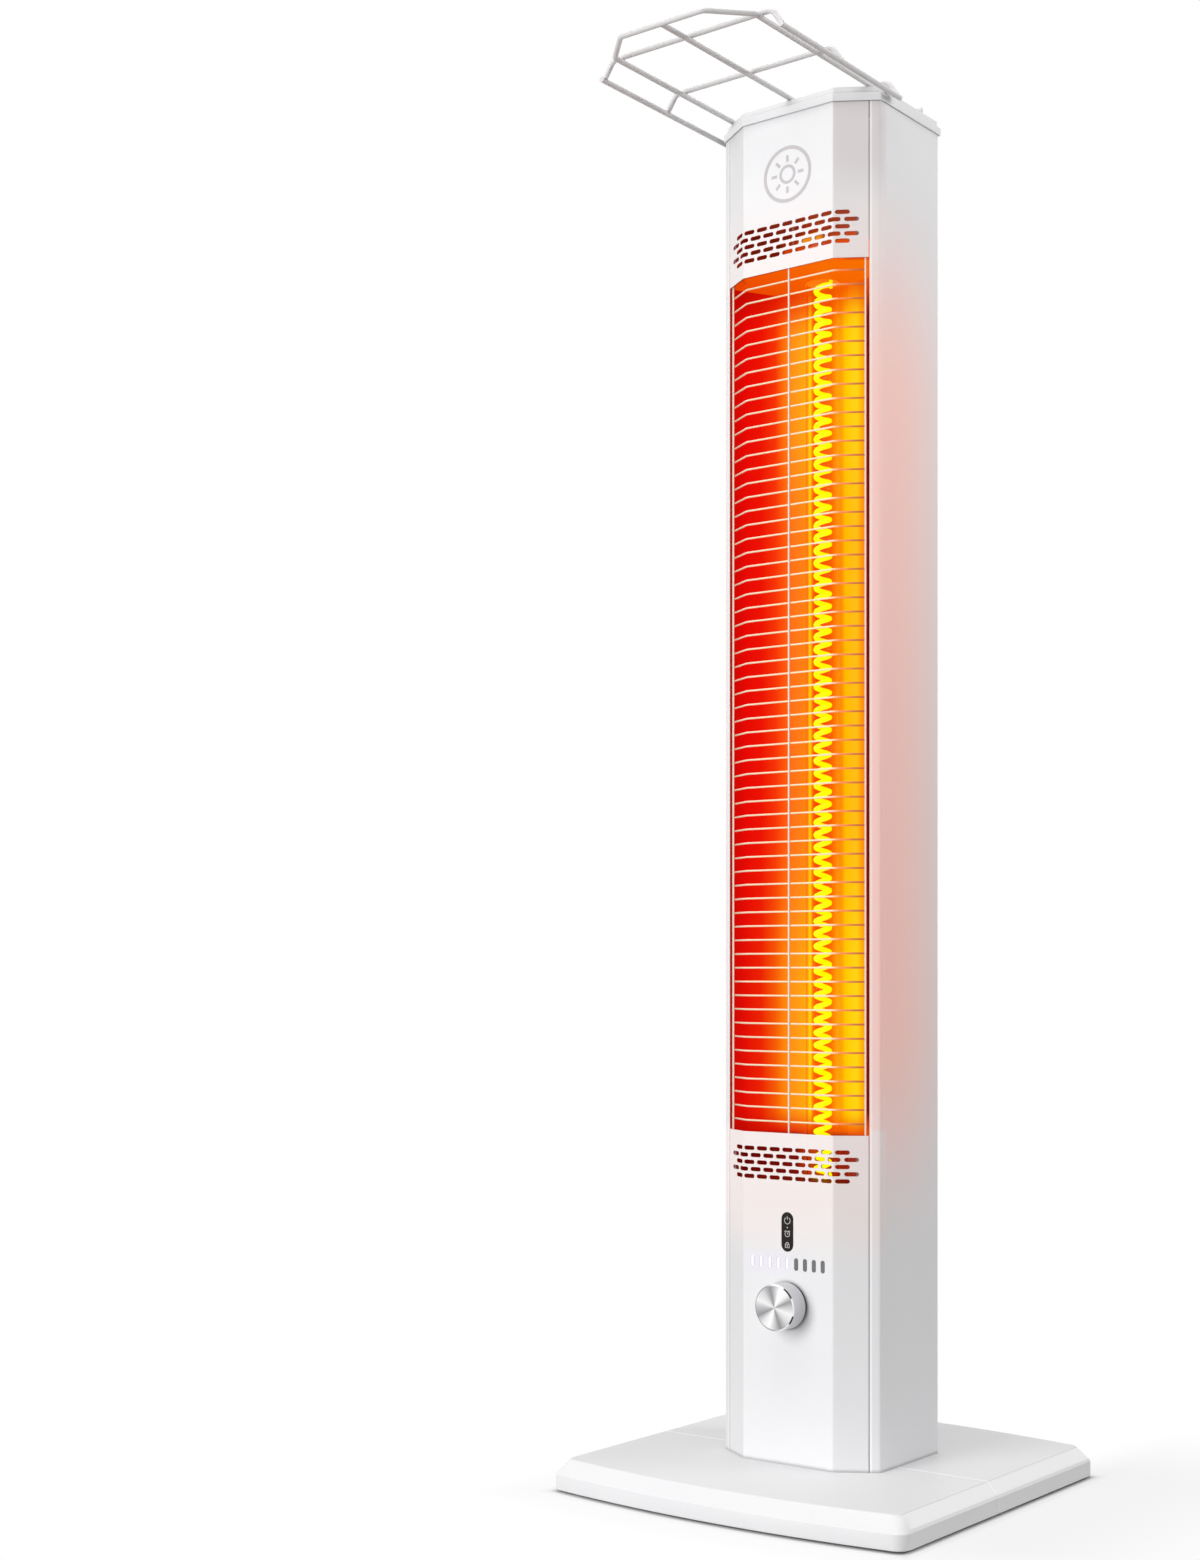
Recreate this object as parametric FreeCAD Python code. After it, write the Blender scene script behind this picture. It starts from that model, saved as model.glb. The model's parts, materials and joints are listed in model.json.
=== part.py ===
import FreeCAD
import Part
import math
import os

# An electric infrared patio heater: a bevelled base, a bent-sheet tower with a guarded heating window,
# a control panel with a knob, and a folding wire rack on the cap. Millimetres, +Z up, front towards -Y,
# with the origin on the floor under the tower.

# Driving dimensions: base
foot_drop = 2.0
base_width = 282.5
base_depth = 273.0
base_bow = 12.0
base_corner_radius = 10.0
base_centre_y = 2.0
base_rise = 20.6
base_band = 10.4
base_bevel = 8.5
base_wall = 3.0
base_seam_y = -9.0
base_seam_gap = 0.5
tie_plate_size = 112.0
tie_plate_thickness = 3.0
foot_radius = 11.0
foot_inset = 30.0
centre_pad_radius = 24.0
floor_pan_thickness = 1.5

# Driving dimensions: tower
upper_panel_height = 106.6
tower_width = 128.0
tower_depth = 99.0
face_width = 73.5
chamfer_depth = 17.7
sheet = 1.2
seam_share = 0.75
seam_gap = 0.6
sheet_bend = 1.5
joggle_width = 9.0
joggle_end_gap = 14.0
window_bottom = 229.8
window_height = 599.6

# Driving dimensions: vents in both front panels
vent_pitch = 10.55
vent_length = 8.6
vent_height = 3.0
vent_row_pitch = 4.93
vent_row_count = 5
vent_edge = 11.5
vent_count = 9

# Driving dimensions: guard
guard_wire = 1.3
guard_count = 61
guard_end_gap = 7.6
guard_tuck = 8.0
guard_side_margin = 2.0
guard_gap = 0.05
guard_facets = 6

# Driving dimensions: heating chamber
chamber_drop = 34.0
reflector_sheet = 0.8
reflector_back_y = 4.1
reflector_back_corner = 38.0
reflector_curve = 22.0
channel_width = 34.8
channel_floor = 25.0
channel_depth = 6.0
channel_bend = 1.5
lip_bend = 0.6
lip_gap = 1.0
end_plate = 1.0
end_flange = 12.0
element_y = -3.3
tube_diameter = 24.0
tube_wall = 1.2
tube_overlap = 11.0
tube_cap_diameter = 30.0
tube_cap_height = 22.0
coil_diameter = 13.4
coil_end_gap = 1.08
coil_strand = 3.0
coil_turns = 72
terminal_length = 1.2
terminal_width = 2.0
cutout_radius = 8.0
cutout_length = 9.0
cutout_tag = 2.0
cutout_drop = 70.0

# Driving dimensions: cap
cap_lower = 5.6
cap_upper = 4.6
cap_overhang = 1.0
cap_step = 2.0
cap_wall = 2.5
cap_spigot = 10.0

# Driving dimensions: controls
knob_height = 110.7
knob_diameter = 32.2
knob_stand = 16.6
knob_chamfer = 0.7
knob_wall = 2.0
knob_hub = 10.0
shaft_diameter = 6.0
face_disc_diameter = 30.2
face_disc_thickness = 0.8
collar_diameter = 31.4
collar_thickness = 1.0
levels_to_display = 3.9
display_width = 9.8
display_length = 27.5
knob_to_levels = 8.2
level_pitch = 7.18
level_count = 9
lit_level_count = 5
level_width = 3.3
level_length = 8.8
lens_flange = 1.6
lens_plate = 1.5
board_width = 62.0
board_bottom = 78.0
board_top = 186.0
board_thickness = 1.6
board_gap = 9.0
standoff_diameter = 6.0
standoff_inset = 5.0
encoder_size = 14.0
encoder_depth = 6.0
encoder_floor = 2.0
bushing_diameter = 8.6

# Driving dimensions: power side
power_board_width = 90.0
power_board_bottom = 60.0
power_board_top = 170.0
power_board_gap = 8.0
sink_width = 40.0
sink_height = 62.0
sink_base = 3.0
sink_fin_depth = 15.0
sink_fin_count = 6
sink_fin_thickness = 1.5
block_width = 32.0
block_height = 12.0
block_depth = 11.0
block_pole_count = 3
tilt_size = 18.0
tilt_height = 24.0
gland_height = 36.0
gland_flange = 20.0
gland_flange_thickness = 3.0
gland_body = 12.6
gland_bore = 7.6
gland_nut = 18.0
gland_nut_thickness = 4.0

# Driving dimensions: screws
screw_diameter = 3.0
screw_head_diameter = 6.0
screw_head = 2.0
screw_tip = 2.0
head_room = 1.0
base_screw_diameter = 5.0
base_screw_head_diameter = 9.0
base_screw_head = 3.0
base_screw_x = 40.0
base_screw_y = 32.0
boss_diameter = 10.0
boss_height = 10.0
boss_roof = 0.5

# Driving dimensions: rack
rack_wire = 3.6
rack_overhang = 148.5
rack_front_width = 65.0
rack_loop_width = 111.0
rack_chamfer_depth = 24.0
rack_bend = 6.0
cross_inset = 33.0
cross_pitch = 72.0
cross_count = 3
rail_gap = 4.5
rail_rise = 4.0
rail_overrun = 3.0
leg_lean = 8.0
leg_bend = 7.0
weld_bite = 0.1
pivot_inset = 13.5
pivot_overrun = 0.4
saddle_x = 42.0
saddle_width = 9.0
saddle_foot = 2.4
saddle_foot_length = 30.0
saddle_ring = 2.6

# Clearances
fit_gap = 0.2
body_gap = 0.3
running_gap = 0.05

# Levels and faces worked out from the driving dimensions
base_top = foot_drop + base_rise
front_y = -tower_depth / 2
back_y = tower_depth / 2
side_x = tower_width / 2
face_x = face_width / 2
shoulder_y = front_y + chamfer_depth
chamfer_length = math.hypot(side_x - face_x, chamfer_depth)
chamfer_angle = math.atan2(chamfer_depth, side_x - face_x)
panel_back_y = front_y + sheet
wall_x = side_x - sheet
wall_y = back_y - sheet
window_low = base_top + window_bottom
window_high = window_low + window_height
tower_top = window_high + upper_panel_height
chamber_low = window_low - chamber_drop
guard_pitch = (window_height - 2 * guard_end_gap) / (guard_count - 1)
coil_bottom = chamber_low + coil_end_gap
coil_pitch = (window_high - chamber_low - 2 * coil_end_gap) / coil_turns
cap_top = tower_top + cap_lower + cap_upper
knob_z = base_top + knob_height
level_z = knob_z + knob_diameter / 2 + knob_to_levels + level_length / 2
display_z = level_z + level_length / 2 + levels_to_display + display_length / 2
rail_x = side_x + cap_overhang + rail_gap + rack_wire / 2
rack_front_y = front_y - rack_overhang
cross_first_y = rack_front_y + cross_inset
pivot_y = back_y - pivot_inset
pivot_length = rack_loop_width + rack_wire + 2 * pivot_overrun
reflector_rear_y = reflector_back_y + reflector_sheet


def vec(x, y, z):
    return FreeCAD.Vector(x, y, z)


def block(x0, x1, y0, y1, z0, z1):
    return Part.makeBox(x1 - x0, y1 - y0, z1 - z0, vec(x0, y0, z0))


def rod(start, end, radius):
    run = end - start
    return Part.makeCylinder(radius, run.Length, start, run)


def fuse(pieces):
    return pieces[0].multiFuse(pieces[1:]).removeSplitter()


def cut(body, tools):
    return body.cut(Part.makeCompound(tools))


def prism(points, z0, z1):
    corners = [vec(x, y, z0) for x, y in points]
    face = Part.Face(Part.makePolygon(corners + corners[:1]))
    return face.extrude(vec(0, 0, z1 - z0))


def turn_between(before, here, after):
    """Unit directions into and out of a corner, and the signed angle between them."""
    into = FreeCAD.Vector(here - before).normalize()
    out = FreeCAD.Vector(after - here).normalize()
    return into, out, math.atan2(into.x * out.y - into.y * out.x, into.x * out.x + into.y * out.y)


def path_edges(corners, radii):
    """Lines through the corners, with an arc of the given radius at each inner one."""
    edges = []
    start = corners[0]
    for i, radius in enumerate(radii, 1):
        into = FreeCAD.Vector(corners[i] - corners[i - 1]).normalize()
        out = FreeCAD.Vector(corners[i + 1] - corners[i]).normalize()
        half = into.getAngle(out) / 2
        reach = radius * math.tan(half)
        arc_start = corners[i] - into * reach
        arc_end = corners[i] + out * reach
        inward = FreeCAD.Vector(out - into).normalize()
        arc_middle = corners[i] + inward * (radius / math.cos(half) - radius)
        edges.append(Part.makeLine(start, arc_start))
        edges.append(Part.Arc(arc_start, arc_middle, arc_end).toShape())
        start = arc_end
    edges.append(Part.makeLine(start, corners[-1]))
    return edges


def left_offset(corners, distance):
    """The same open path, moved to the left of its travel with mitred corners."""
    moved = []
    before_first = corners[0] * 2 - corners[1]
    after_last = corners[-1] * 2 - corners[-2]
    line = [before_first] + corners + [after_last]
    for before, corner, after in zip(line, line[1:], line[2:]):
        into, out, angle = turn_between(before, corner, after)
        normal = vec(-into.y - out.y, into.x + out.x, 0).normalize()
        moved.append(corner + normal * (distance / math.cos(angle / 2)))
    return moved


def bent_sheet(points, thickness, bends, z0, z1):
    """A folded sheet: its given face runs through the points and its thickness lies to their left."""
    corners = [vec(x, y, z0) for x, y in points]
    other = left_offset(corners, thickness)
    near, far = [], []
    for i, bend in enumerate(bends, 1):
        angle = turn_between(corners[i - 1], corners[i], corners[i + 1])[2]
        near.append(bend + thickness if angle > 0 else bend)
        far.append(bend if angle > 0 else bend + thickness)
    edges = path_edges(corners, near) + path_edges(other, far)
    edges.append(Part.makeLine(corners[0], other[0]))
    edges.append(Part.makeLine(corners[-1], other[-1]))
    face = Part.Face(Part.Wire(Part.__sortEdges__(edges)))
    return face.extrude(vec(0, 0, z1 - z0))


def bent_wire(corners, radii, radius):
    """A round wire bent along a path."""
    path = Part.Wire(path_edges(corners, radii))
    ring = Part.Wire(Part.makeCircle(radius, corners[0], corners[1] - corners[0]))
    return path.makePipeShell([ring], True, False)


def obround(width, length, y0, y1, x, z):
    """An upright slot shape with round ends, running along Y."""
    radius = width / 2
    reach = length / 2 - radius
    body = block(x - radius, x + radius, y0, y1, z - reach, z + reach)
    ends = [Part.makeCylinder(radius, y1 - y0, vec(x, y0, z + end), vec(0, 1, 0)) for end in (-reach, reach)]
    return fuse([body] + ends)


def chamfer_point(along, depth, side):
    """A point at a distance along the chamfer from the front corner, and at a depth behind its skin."""
    x = face_x + along * math.cos(chamfer_angle) - depth * math.sin(chamfer_angle)
    y = front_y + along * math.sin(chamfer_angle) + depth * math.cos(chamfer_angle)
    return side * x, y


def tower_section(inset):
    """The tower's six-sided plan, drawn in from its skin by an even distance."""
    lean = math.tan(chamfer_angle / 2)
    brow = math.tan((math.pi / 2 - chamfer_angle) / 2)
    face = face_x - inset * lean
    side = side_x - inset
    shoulder = shoulder_y + inset * brow
    front = front_y + inset
    back = back_y - inset
    return [(-face, front), (face, front), (side, shoulder), (side, back), (-side, back), (-side, shoulder)]


def base_plan(inset, z):
    """The base outline with bowed front and rear edges and rounded corners."""
    x = base_width / 2 - inset
    y = base_depth / 2 - inset
    front = base_centre_y - y
    rear = base_centre_y + y
    edges = [
        Part.Arc(vec(-x, front, z), vec(0, front - base_bow, z), vec(x, front, z)).toShape(),
        Part.makeLine(vec(x, front, z), vec(x, rear, z)),
        Part.Arc(vec(x, rear, z), vec(0, rear + base_bow, z), vec(-x, rear, z)).toShape(),
        Part.makeLine(vec(-x, rear, z), vec(-x, front, z)),
    ]
    block_of_plan = Part.Face(Part.Wire(edges)).extrude(vec(0, 0, 1))
    uprights = [e for e in block_of_plan.Edges if abs(e.tangentAt(e.FirstParameter).z) > 0.99]
    rounded = block_of_plan.makeFillet(base_corner_radius - inset / 2, uprights)
    flat = [f for f in rounded.Faces if abs(f.CenterOfMass.z - z) < 0.01][0]
    return flat.OuterWire


def base_form(inset, z0, z1):
    """The base body: an upright band and a bevel up to the top."""
    band_top = foot_drop + base_band - inset / 2
    band = Part.Face(base_plan(inset, z0)).extrude(vec(0, 0, band_top - z0))
    bevel = Part.makeLoft([base_plan(inset, band_top), base_plan(inset + base_bevel, z1)], True, True)
    return fuse([band, bevel])


def base_screw_places():
    return [(sx * base_screw_x, sy * base_screw_y) for sx in (-1, 1) for sy in (-1, 1)]


def base_shell():
    outer = base_form(0, foot_drop, base_top)
    inner = base_form(base_wall, foot_drop + floor_pan_thickness, base_top - base_wall)
    mouth = Part.Face(base_plan(base_wall, foot_drop)).extrude(vec(0, 0, floor_pan_thickness))
    holes = [Part.makeCylinder(base_screw_diameter / 2 + fit_gap, base_rise, vec(x, y, foot_drop))
             for x, y in base_screw_places()]
    return cut(outer, [inner, mouth] + holes)


def base_half(side):
    """The front (-1) or rear (+1) half of the base, parted along a fine seam."""
    edge = base_seam_y + side * base_seam_gap / 2
    far = edge + side * base_depth
    room = block(-base_width, base_width, min(edge, far), max(edge, far), 0, 2 * base_top)
    return base_shell().common(room)


def tie_plate():
    """Steel plate under the base top that joins both halves to the tower."""
    half = tie_plate_size / 2
    top = base_top - base_wall
    plate = block(-half, half, -half, half, top - tie_plate_thickness, top)
    holes = [Part.makeCylinder(base_screw_diameter / 2 + fit_gap, base_rise, vec(x, y, foot_drop))
             for x, y in base_screw_places()]
    return cut(plate, holes)


def floor_pan():
    """Sheet that closes the base from below and carries the feet, with a hole to reach each screw."""
    pan = Part.Face(base_plan(base_wall + fit_gap, foot_drop)).extrude(vec(0, 0, floor_pan_thickness))
    reach = base_screw_head_diameter / 2 + head_room
    holes = [Part.makeCylinder(reach, base_rise, vec(x, y, 0)) for x, y in base_screw_places()]
    pillars = [Part.makeCylinder(boss_diameter / 2, tie_plate_bottom() - foot_drop, vec(x, 0, foot_drop))
               for x in (-base_screw_x, base_screw_x)]
    return fuse([cut(pan, holes)] + pillars)


def tie_plate_bottom():
    return base_top - base_wall - tie_plate_thickness


def corner_feet():
    x = base_width / 2 - foot_inset
    y = base_depth / 2 - foot_inset
    feet = []
    for sx in (-1, 1):
        for sy in (-1, 1):
            foot = Part.makeCylinder(foot_radius, foot_drop, vec(sx * x, base_centre_y + sy * y, 0))
            rim = [e for e in foot.Edges if e.BoundBox.ZMax < 0.01]
            feet.append(foot.makeChamfer(foot_drop / 4, rim))
    return Part.makeCompound(feet)


def centre_pad():
    return Part.makeCylinder(centre_pad_radius, foot_drop, vec(0, 0, 0))


def base_screws():
    """Screws from below through the tie plate and the base top into the tower's foot."""
    screws = []
    for x, y in base_screw_places():
        head = Part.makeCylinder(base_screw_head_diameter / 2, base_screw_head,
                                 vec(x, y, tie_plate_bottom() - base_screw_head))
        length = base_top + boss_height - 2 * boss_roof - tie_plate_bottom()
        shank = Part.makeCylinder(base_screw_diameter / 2, length, vec(x, y, tie_plate_bottom()))
        screws.append(fuse([head, shank]))
    return Part.makeCompound(screws)


def tower_foot():
    """Folded tray that closes the tower below, with tapped bosses for the base screws."""
    tray = flanged_plate(base_top, sheet)
    bosses = [Part.makeCylinder(boss_diameter / 2, boss_height, vec(x, y, base_top))
              for x, y in base_screw_places()]
    bore = base_screw_diameter / 2 + fit_gap
    holes = [Part.makeCylinder(bore, boss_height - boss_roof, vec(x, y, base_top))
             for x, y in base_screw_places()]
    return cut(fuse([tray] + bosses), holes + flange_holes(base_top))


def flanged_plate(z, front_inset):
    """A plate across the tower with flanges turned up against its side and back walls."""
    front = front_y + front_inset + fit_gap
    side = wall_x - sheet - fit_gap
    lean = joggle_width + sheet
    nose = face_x - lean * math.tan(chamfer_angle)
    outline = [(-nose, front), (nose, front), (side, shoulder_y + lean), (side, wall_y - end_plate),
               (-side, wall_y - end_plate), (-side, shoulder_y + lean)]
    pieces = [prism(outline, z, z + end_plate)]
    flange_front = shoulder_y + lean
    for s in (-1, 1):
        x0, x1 = sorted((s * (side - end_plate), s * wall_x))
        pieces.append(block(x0, x1, flange_front, wall_y - end_plate, z, z + end_plate))
        x0, x1 = sorted((s * (wall_x - end_plate), s * wall_x))
        pieces.append(block(x0, x1, flange_front, wall_y - end_plate, z, z + end_flange))
    pieces.append(block(-side, side, wall_y - end_plate, wall_y, z, z + end_flange))
    return fuse(pieces)


def flange_holes(z):
    """Screw holes through the back flange of a plate and the housing behind it."""
    radius = screw_diameter / 2 + fit_gap
    return [Part.makeCylinder(radius, 6 * sheet, vec(x, back_y - 4 * sheet, z + end_flange / 2), vec(0, 1, 0))
            for x in (-base_screw_x, base_screw_x)]


def flange_levels():
    return [base_top, chamber_low - end_plate, window_high]


def rear_housing():
    """One folded sheet for both sides and the back, with a stepped-in strip behind each front panel."""
    seam = seam_share * chamfer_length + seam_gap
    outline = [chamfer_point(seam, 0, 1), (side_x, shoulder_y), (side_x, back_y), (-side_x, back_y),
               (-side_x, shoulder_y), chamfer_point(seam, 0, -1)]
    shell = bent_sheet(outline, sheet, [sheet_bend] * 4, base_top, tower_top)
    pieces = [shell]
    for z0, z1 in ((base_top + joggle_end_gap, window_low - joggle_end_gap),
                   (window_high + joggle_end_gap, tower_top - joggle_end_gap)):
        for side in (-1, 1):
            strip = [chamfer_point(seam - joggle_width, sheet, side),
                     chamfer_point(seam + sheet, sheet, side),
                     chamfer_point(seam + sheet, 2 * sheet, side),
                     chamfer_point(seam - joggle_width, 2 * sheet, side)]
            step = [chamfer_point(seam, 0, side), chamfer_point(seam + sheet, 0, side),
                    chamfer_point(seam + sheet, 2 * sheet, side), chamfer_point(seam, 2 * sheet, side)]
            pieces.append(prism(strip, z0, z1))
            pieces.append(prism(step, z0, z1))
    holes = [Part.makeCylinder(gland_body / 2 + fit_gap, 4 * sheet,
                               vec(0, wall_y - sheet, base_top + gland_height), vec(0, 1, 0))]
    for level in flange_levels():
        holes += flange_holes(level)
    return cut(fuse(pieces), holes)


def vent_slots(first_row_z):
    """Staggered slots cut straight back through the folded panel, the outer ones through its chamfers."""
    tools = []
    for row in range(vent_row_count):
        z = first_row_z + row * vent_row_pitch
        count = vent_count + row % 2
        for i in range(count):
            slot = level_slot(vent_length, vent_height, front_y - sheet, shoulder_y, z)
            slot.translate(vec((i - (count - 1) / 2) * vent_pitch, 0, 0))
            tools.append(slot)
    return tools


def level_slot(length, height, y0, y1, z):
    """A level slot shape with round ends, running along Y."""
    end = height / 2
    reach = length / 2 - end
    edges = [
        Part.makeLine(vec(-reach, y0, z - end), vec(reach, y0, z - end)),
        Part.Arc(vec(reach, y0, z - end), vec(reach + end, y0, z), vec(reach, y0, z + end)).toShape(),
        Part.makeLine(vec(reach, y0, z + end), vec(-reach, y0, z + end)),
        Part.Arc(vec(-reach, y0, z + end), vec(-reach - end, y0, z), vec(-reach, y0, z - end)).toShape(),
    ]
    return Part.Face(Part.Wire(edges)).extrude(vec(0, y1 - y0, 0))


def front_panel(z0, z1):
    """A folded front panel between two heights."""
    seam = seam_share * chamfer_length
    outline = [chamfer_point(seam, 0, -1), (-face_x, front_y), (face_x, front_y), chamfer_point(seam, 0, 1)]
    return bent_sheet(outline, sheet, [sheet_bend] * 2, z0, z1)


def upper_front_panel():
    return cut(front_panel(window_high, tower_top), vent_slots(window_high + vent_edge))


def level_places(first, last):
    middle = (level_count - 1) / 2
    return [(i - middle) * level_pitch for i in range(first, last)]


def lower_front_panel():
    """The control panel, pierced for the vents, display, level bars and knob shaft."""
    vent_span = (vent_row_count - 1) * vent_row_pitch
    tools = vent_slots(window_low - vent_edge - vent_span)
    y0, y1 = front_y - sheet, front_y + 3 * sheet
    tools.append(obround(display_width, display_length, y0, y1, 0, display_z))
    for x in level_places(0, level_count):
        tools.append(obround(level_width, level_length, y0, y1, x, level_z))
    tools.append(Part.makeCylinder(bushing_diameter / 2 + fit_gap, y1 - y0,
                                   vec(0, y0, knob_z), vec(0, 1, 0)))
    return cut(front_panel(base_top, window_low), tools)


def lens(width, length, x, z):
    """A lens that fills a slot of the panel and has a flange against its inner face."""
    window = obround(width - 2 * fit_gap, length - 2 * fit_gap, front_y, panel_back_y, x, z)
    flange = obround(width + lens_flange, length + lens_flange, panel_back_y, panel_back_y + lens_plate, x, z)
    return fuse([window, flange])


def display_window():
    return lens(display_width, display_length, 0, display_z)


def level_lenses(first, last):
    return Part.makeCompound([lens(level_width, level_length, x, level_z)
                              for x in level_places(first, last)])


def hex_wire(points, z, radius):
    """A thin wire through the points at one height, with a few flat sides and mitred bends."""
    corners = [vec(x, y, z) for x, y in points]
    run = corners[1] - corners[0]
    rim = []
    across = FreeCAD.Vector(run.y, -run.x, 0).normalize()
    for i in range(guard_facets):
        angle = 2 * math.pi * i / guard_facets
        rim.append(corners[0] + across * (radius * math.cos(angle)) + vec(0, 0, radius * math.sin(angle)))
    section = Part.Wire(Part.makePolygon(rim + rim[:1]))
    return Part.Wire(Part.makePolygon(corners)).makePipeShell([section], True, False, 1)


def guard_upright_depth():
    return sheet + guard_gap + guard_wire / 2


def guard_wires():
    """Level wires welded behind the uprights, each bent round the front of the tower."""
    depth = guard_upright_depth() + guard_wire - weld_bite
    end = seam_share * chamfer_length - guard_side_margin + guard_wire / 2
    lean = depth * math.tan(chamfer_angle / 2)
    points = [chamfer_point(end, depth, -1), (-face_x + lean, front_y + depth),
              (face_x - lean, front_y + depth), chamfer_point(end, depth, 1)]
    first = window_low + guard_end_gap
    return Part.makeCompound([hex_wire(points, first + i * guard_pitch, guard_wire / 2)
                              for i in range(guard_count)])


def guard_uprights():
    """Three upright wires whose ends are tucked behind the front panels."""
    depth = guard_upright_depth()
    side = seam_share * chamfer_length - guard_side_margin
    feet = [chamfer_point(side, depth, -1), (0, front_y + depth), chamfer_point(side, depth, 1)]
    rods = [rod(vec(x, y, window_low - guard_tuck), vec(x, y, window_high + guard_tuck), guard_wire / 2)
            for x, y in feet]
    return Part.makeCompound(rods)


def reflector():
    """Folded trough with curved shoulders and a recessed channel behind the tube."""
    lip_start = seam_share * chamfer_length + seam_gap + lip_gap
    lip_end = chamfer_length - 3 * sheet
    half = channel_width / 2
    floor = channel_floor / 2
    floor_y = reflector_back_y + channel_depth
    right = [(floor, floor_y), (half, reflector_back_y), (reflector_back_corner, reflector_back_y),
             chamfer_point(lip_start, sheet, 1), chamfer_point(lip_end, sheet, 1)]
    left = [(-x, y) for x, y in reversed(right)]
    bends = [channel_bend, channel_bend, reflector_curve, lip_bend]
    return bent_sheet(left + right, reflector_sheet, bends[::-1] + bends, chamber_low, window_high)


def end_plate_with_hole(z, front_inset):
    hole = Part.makeCylinder(tube_diameter / 2 + body_gap, 4 * end_plate, vec(0, element_y, z - end_plate))
    return cut(flanged_plate(z, front_inset), [hole] + flange_holes(z))


def upper_end_plate():
    return end_plate_with_hole(window_high, 2 * guard_wire + sheet)


def lower_end_plate():
    return end_plate_with_hole(chamber_low - end_plate, sheet)


def quartz_tube():
    bottom = chamber_low - end_plate - tube_overlap
    length = window_high + end_plate + tube_overlap - bottom
    outer = Part.makeCylinder(tube_diameter / 2, length, vec(0, element_y, bottom))
    bore = Part.makeCylinder(tube_diameter / 2 - tube_wall, length, vec(0, element_y, bottom))
    return outer.cut(bore)


def tube_cap(plate_face, up):
    """Ceramic end cap that stands on an end plate and holds the end of the tube."""
    axis = vec(0, 0, up)
    foot = vec(0, element_y, plate_face)
    body = Part.makeCylinder(tube_cap_diameter / 2, tube_cap_height, foot, axis)
    neck = Part.makeCylinder(tube_cap_diameter / 4, tube_cap_height / 4, foot + axis * tube_cap_height, axis)
    socket = Part.makeCylinder(tube_diameter / 2 + fit_gap, tube_overlap, foot, axis)
    return cut(fuse([body, neck]), [socket])


def helix_point(turns):
    """Place and direction on the coil after a number of turns."""
    angle = 2 * math.pi * turns
    radius = (coil_diameter - coil_strand * math.sqrt(2)) / 2
    place = vec(radius * math.cos(angle), element_y + radius * math.sin(angle),
                coil_bottom + coil_pitch * turns)
    rise = coil_pitch / (2 * math.pi * radius)
    if turns <= 0 or turns >= coil_turns:
        rise = 0
    return place, vec(-math.sin(angle), math.cos(angle), rise).normalize()


def arc_from(start, direction, end):
    """An arc that leaves a point in a given direction and ends at another."""
    chord = end - start
    along = FreeCAD.Vector(chord).normalize()
    bulge = direction - along * direction.dot(along)
    height = chord.Length / 2 * math.tan(direction.getAngle(chord) / 2)
    middle = (start + end) * 0.5 + FreeCAD.Vector(bulge).normalize() * height
    return Part.Arc(start, middle, end).toShape()


def biarc(start, start_direction, end, end_direction):
    """Two arcs that join two points and match the direction at both."""
    gap = end - start
    both = start_direction + end_direction
    spread = 2 * (1 - start_direction.dot(end_direction))
    reach = (-gap.dot(both) + math.sqrt(gap.dot(both) ** 2 + spread * gap.dot(gap))) / spread
    joint = (start + start_direction * reach + end - end_direction * reach) * 0.5
    first = arc_from(start, start_direction, joint)
    second = arc_from(end, end_direction * -1, joint)
    return [first, second]


def heating_coil():
    """One unbroken strand wound on half-turn arcs, with a straight stub at each end."""
    stub = coil_strand
    place, direction = helix_point(0)
    edges = [Part.makeLine(place - direction * stub, place)]
    for half in range(2 * coil_turns):
        start, start_direction = helix_point(half / 2)
        end, end_direction = helix_point((half + 1) / 2)
        edges += biarc(start, start_direction, end, end_direction)
    edges.append(Part.makeLine(end, end + end_direction * stub))
    path = Part.Wire(Part.__sortEdges__(edges))
    origin = place - direction * stub
    side = coil_strand / 2
    across = vec(1, 0, 0)
    upward = vec(0, 0, 1)
    square = ((1, 1), (-1, 1), (-1, -1), (1, -1))
    rim = [origin + across * (a * side) + upward * (b * side) for a, b in square]
    section = Part.Wire(Part.makePolygon(rim + rim[:1]))
    print("coil least gap to itself, mm:", round(coil_least_gap(), 2))
    return path.makePipeShell([section], True, False)


def coil_least_gap():
    """The least distance between strands a turn or more apart, measured on points along two turns."""
    steps = 48
    places = [helix_point(1 + i / steps)[0] for i in range(2 * steps)]
    pairs = [(a, b) for i, a in enumerate(places) for b in places[i + steps // 2:]]
    return min(a.distanceToPoint(b) for a, b in pairs) - coil_strand * math.sqrt(2)


def coil_terminals():
    """Metal lugs that take the coil's stubs and stand in the ceramic caps."""
    lugs = []
    for turns, plate_face, up in ((0, chamber_low - end_plate, -1), (coil_turns, window_high + end_plate, 1)):
        place, direction = helix_point(turns)
        meet = place + direction * (up * coil_strand)
        y0, y1 = sorted((meet.y, meet.y + up * terminal_length))
        half = coil_strand / 2
        root = plate_face + up * tube_overlap
        z0, z1 = sorted((meet.z - up * half, root))
        wide = terminal_width / 2
        lugs.append(block(meet.x - wide, meet.x + wide, y0, y1, z0, z1))
    return Part.makeCompound(lugs)


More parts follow.
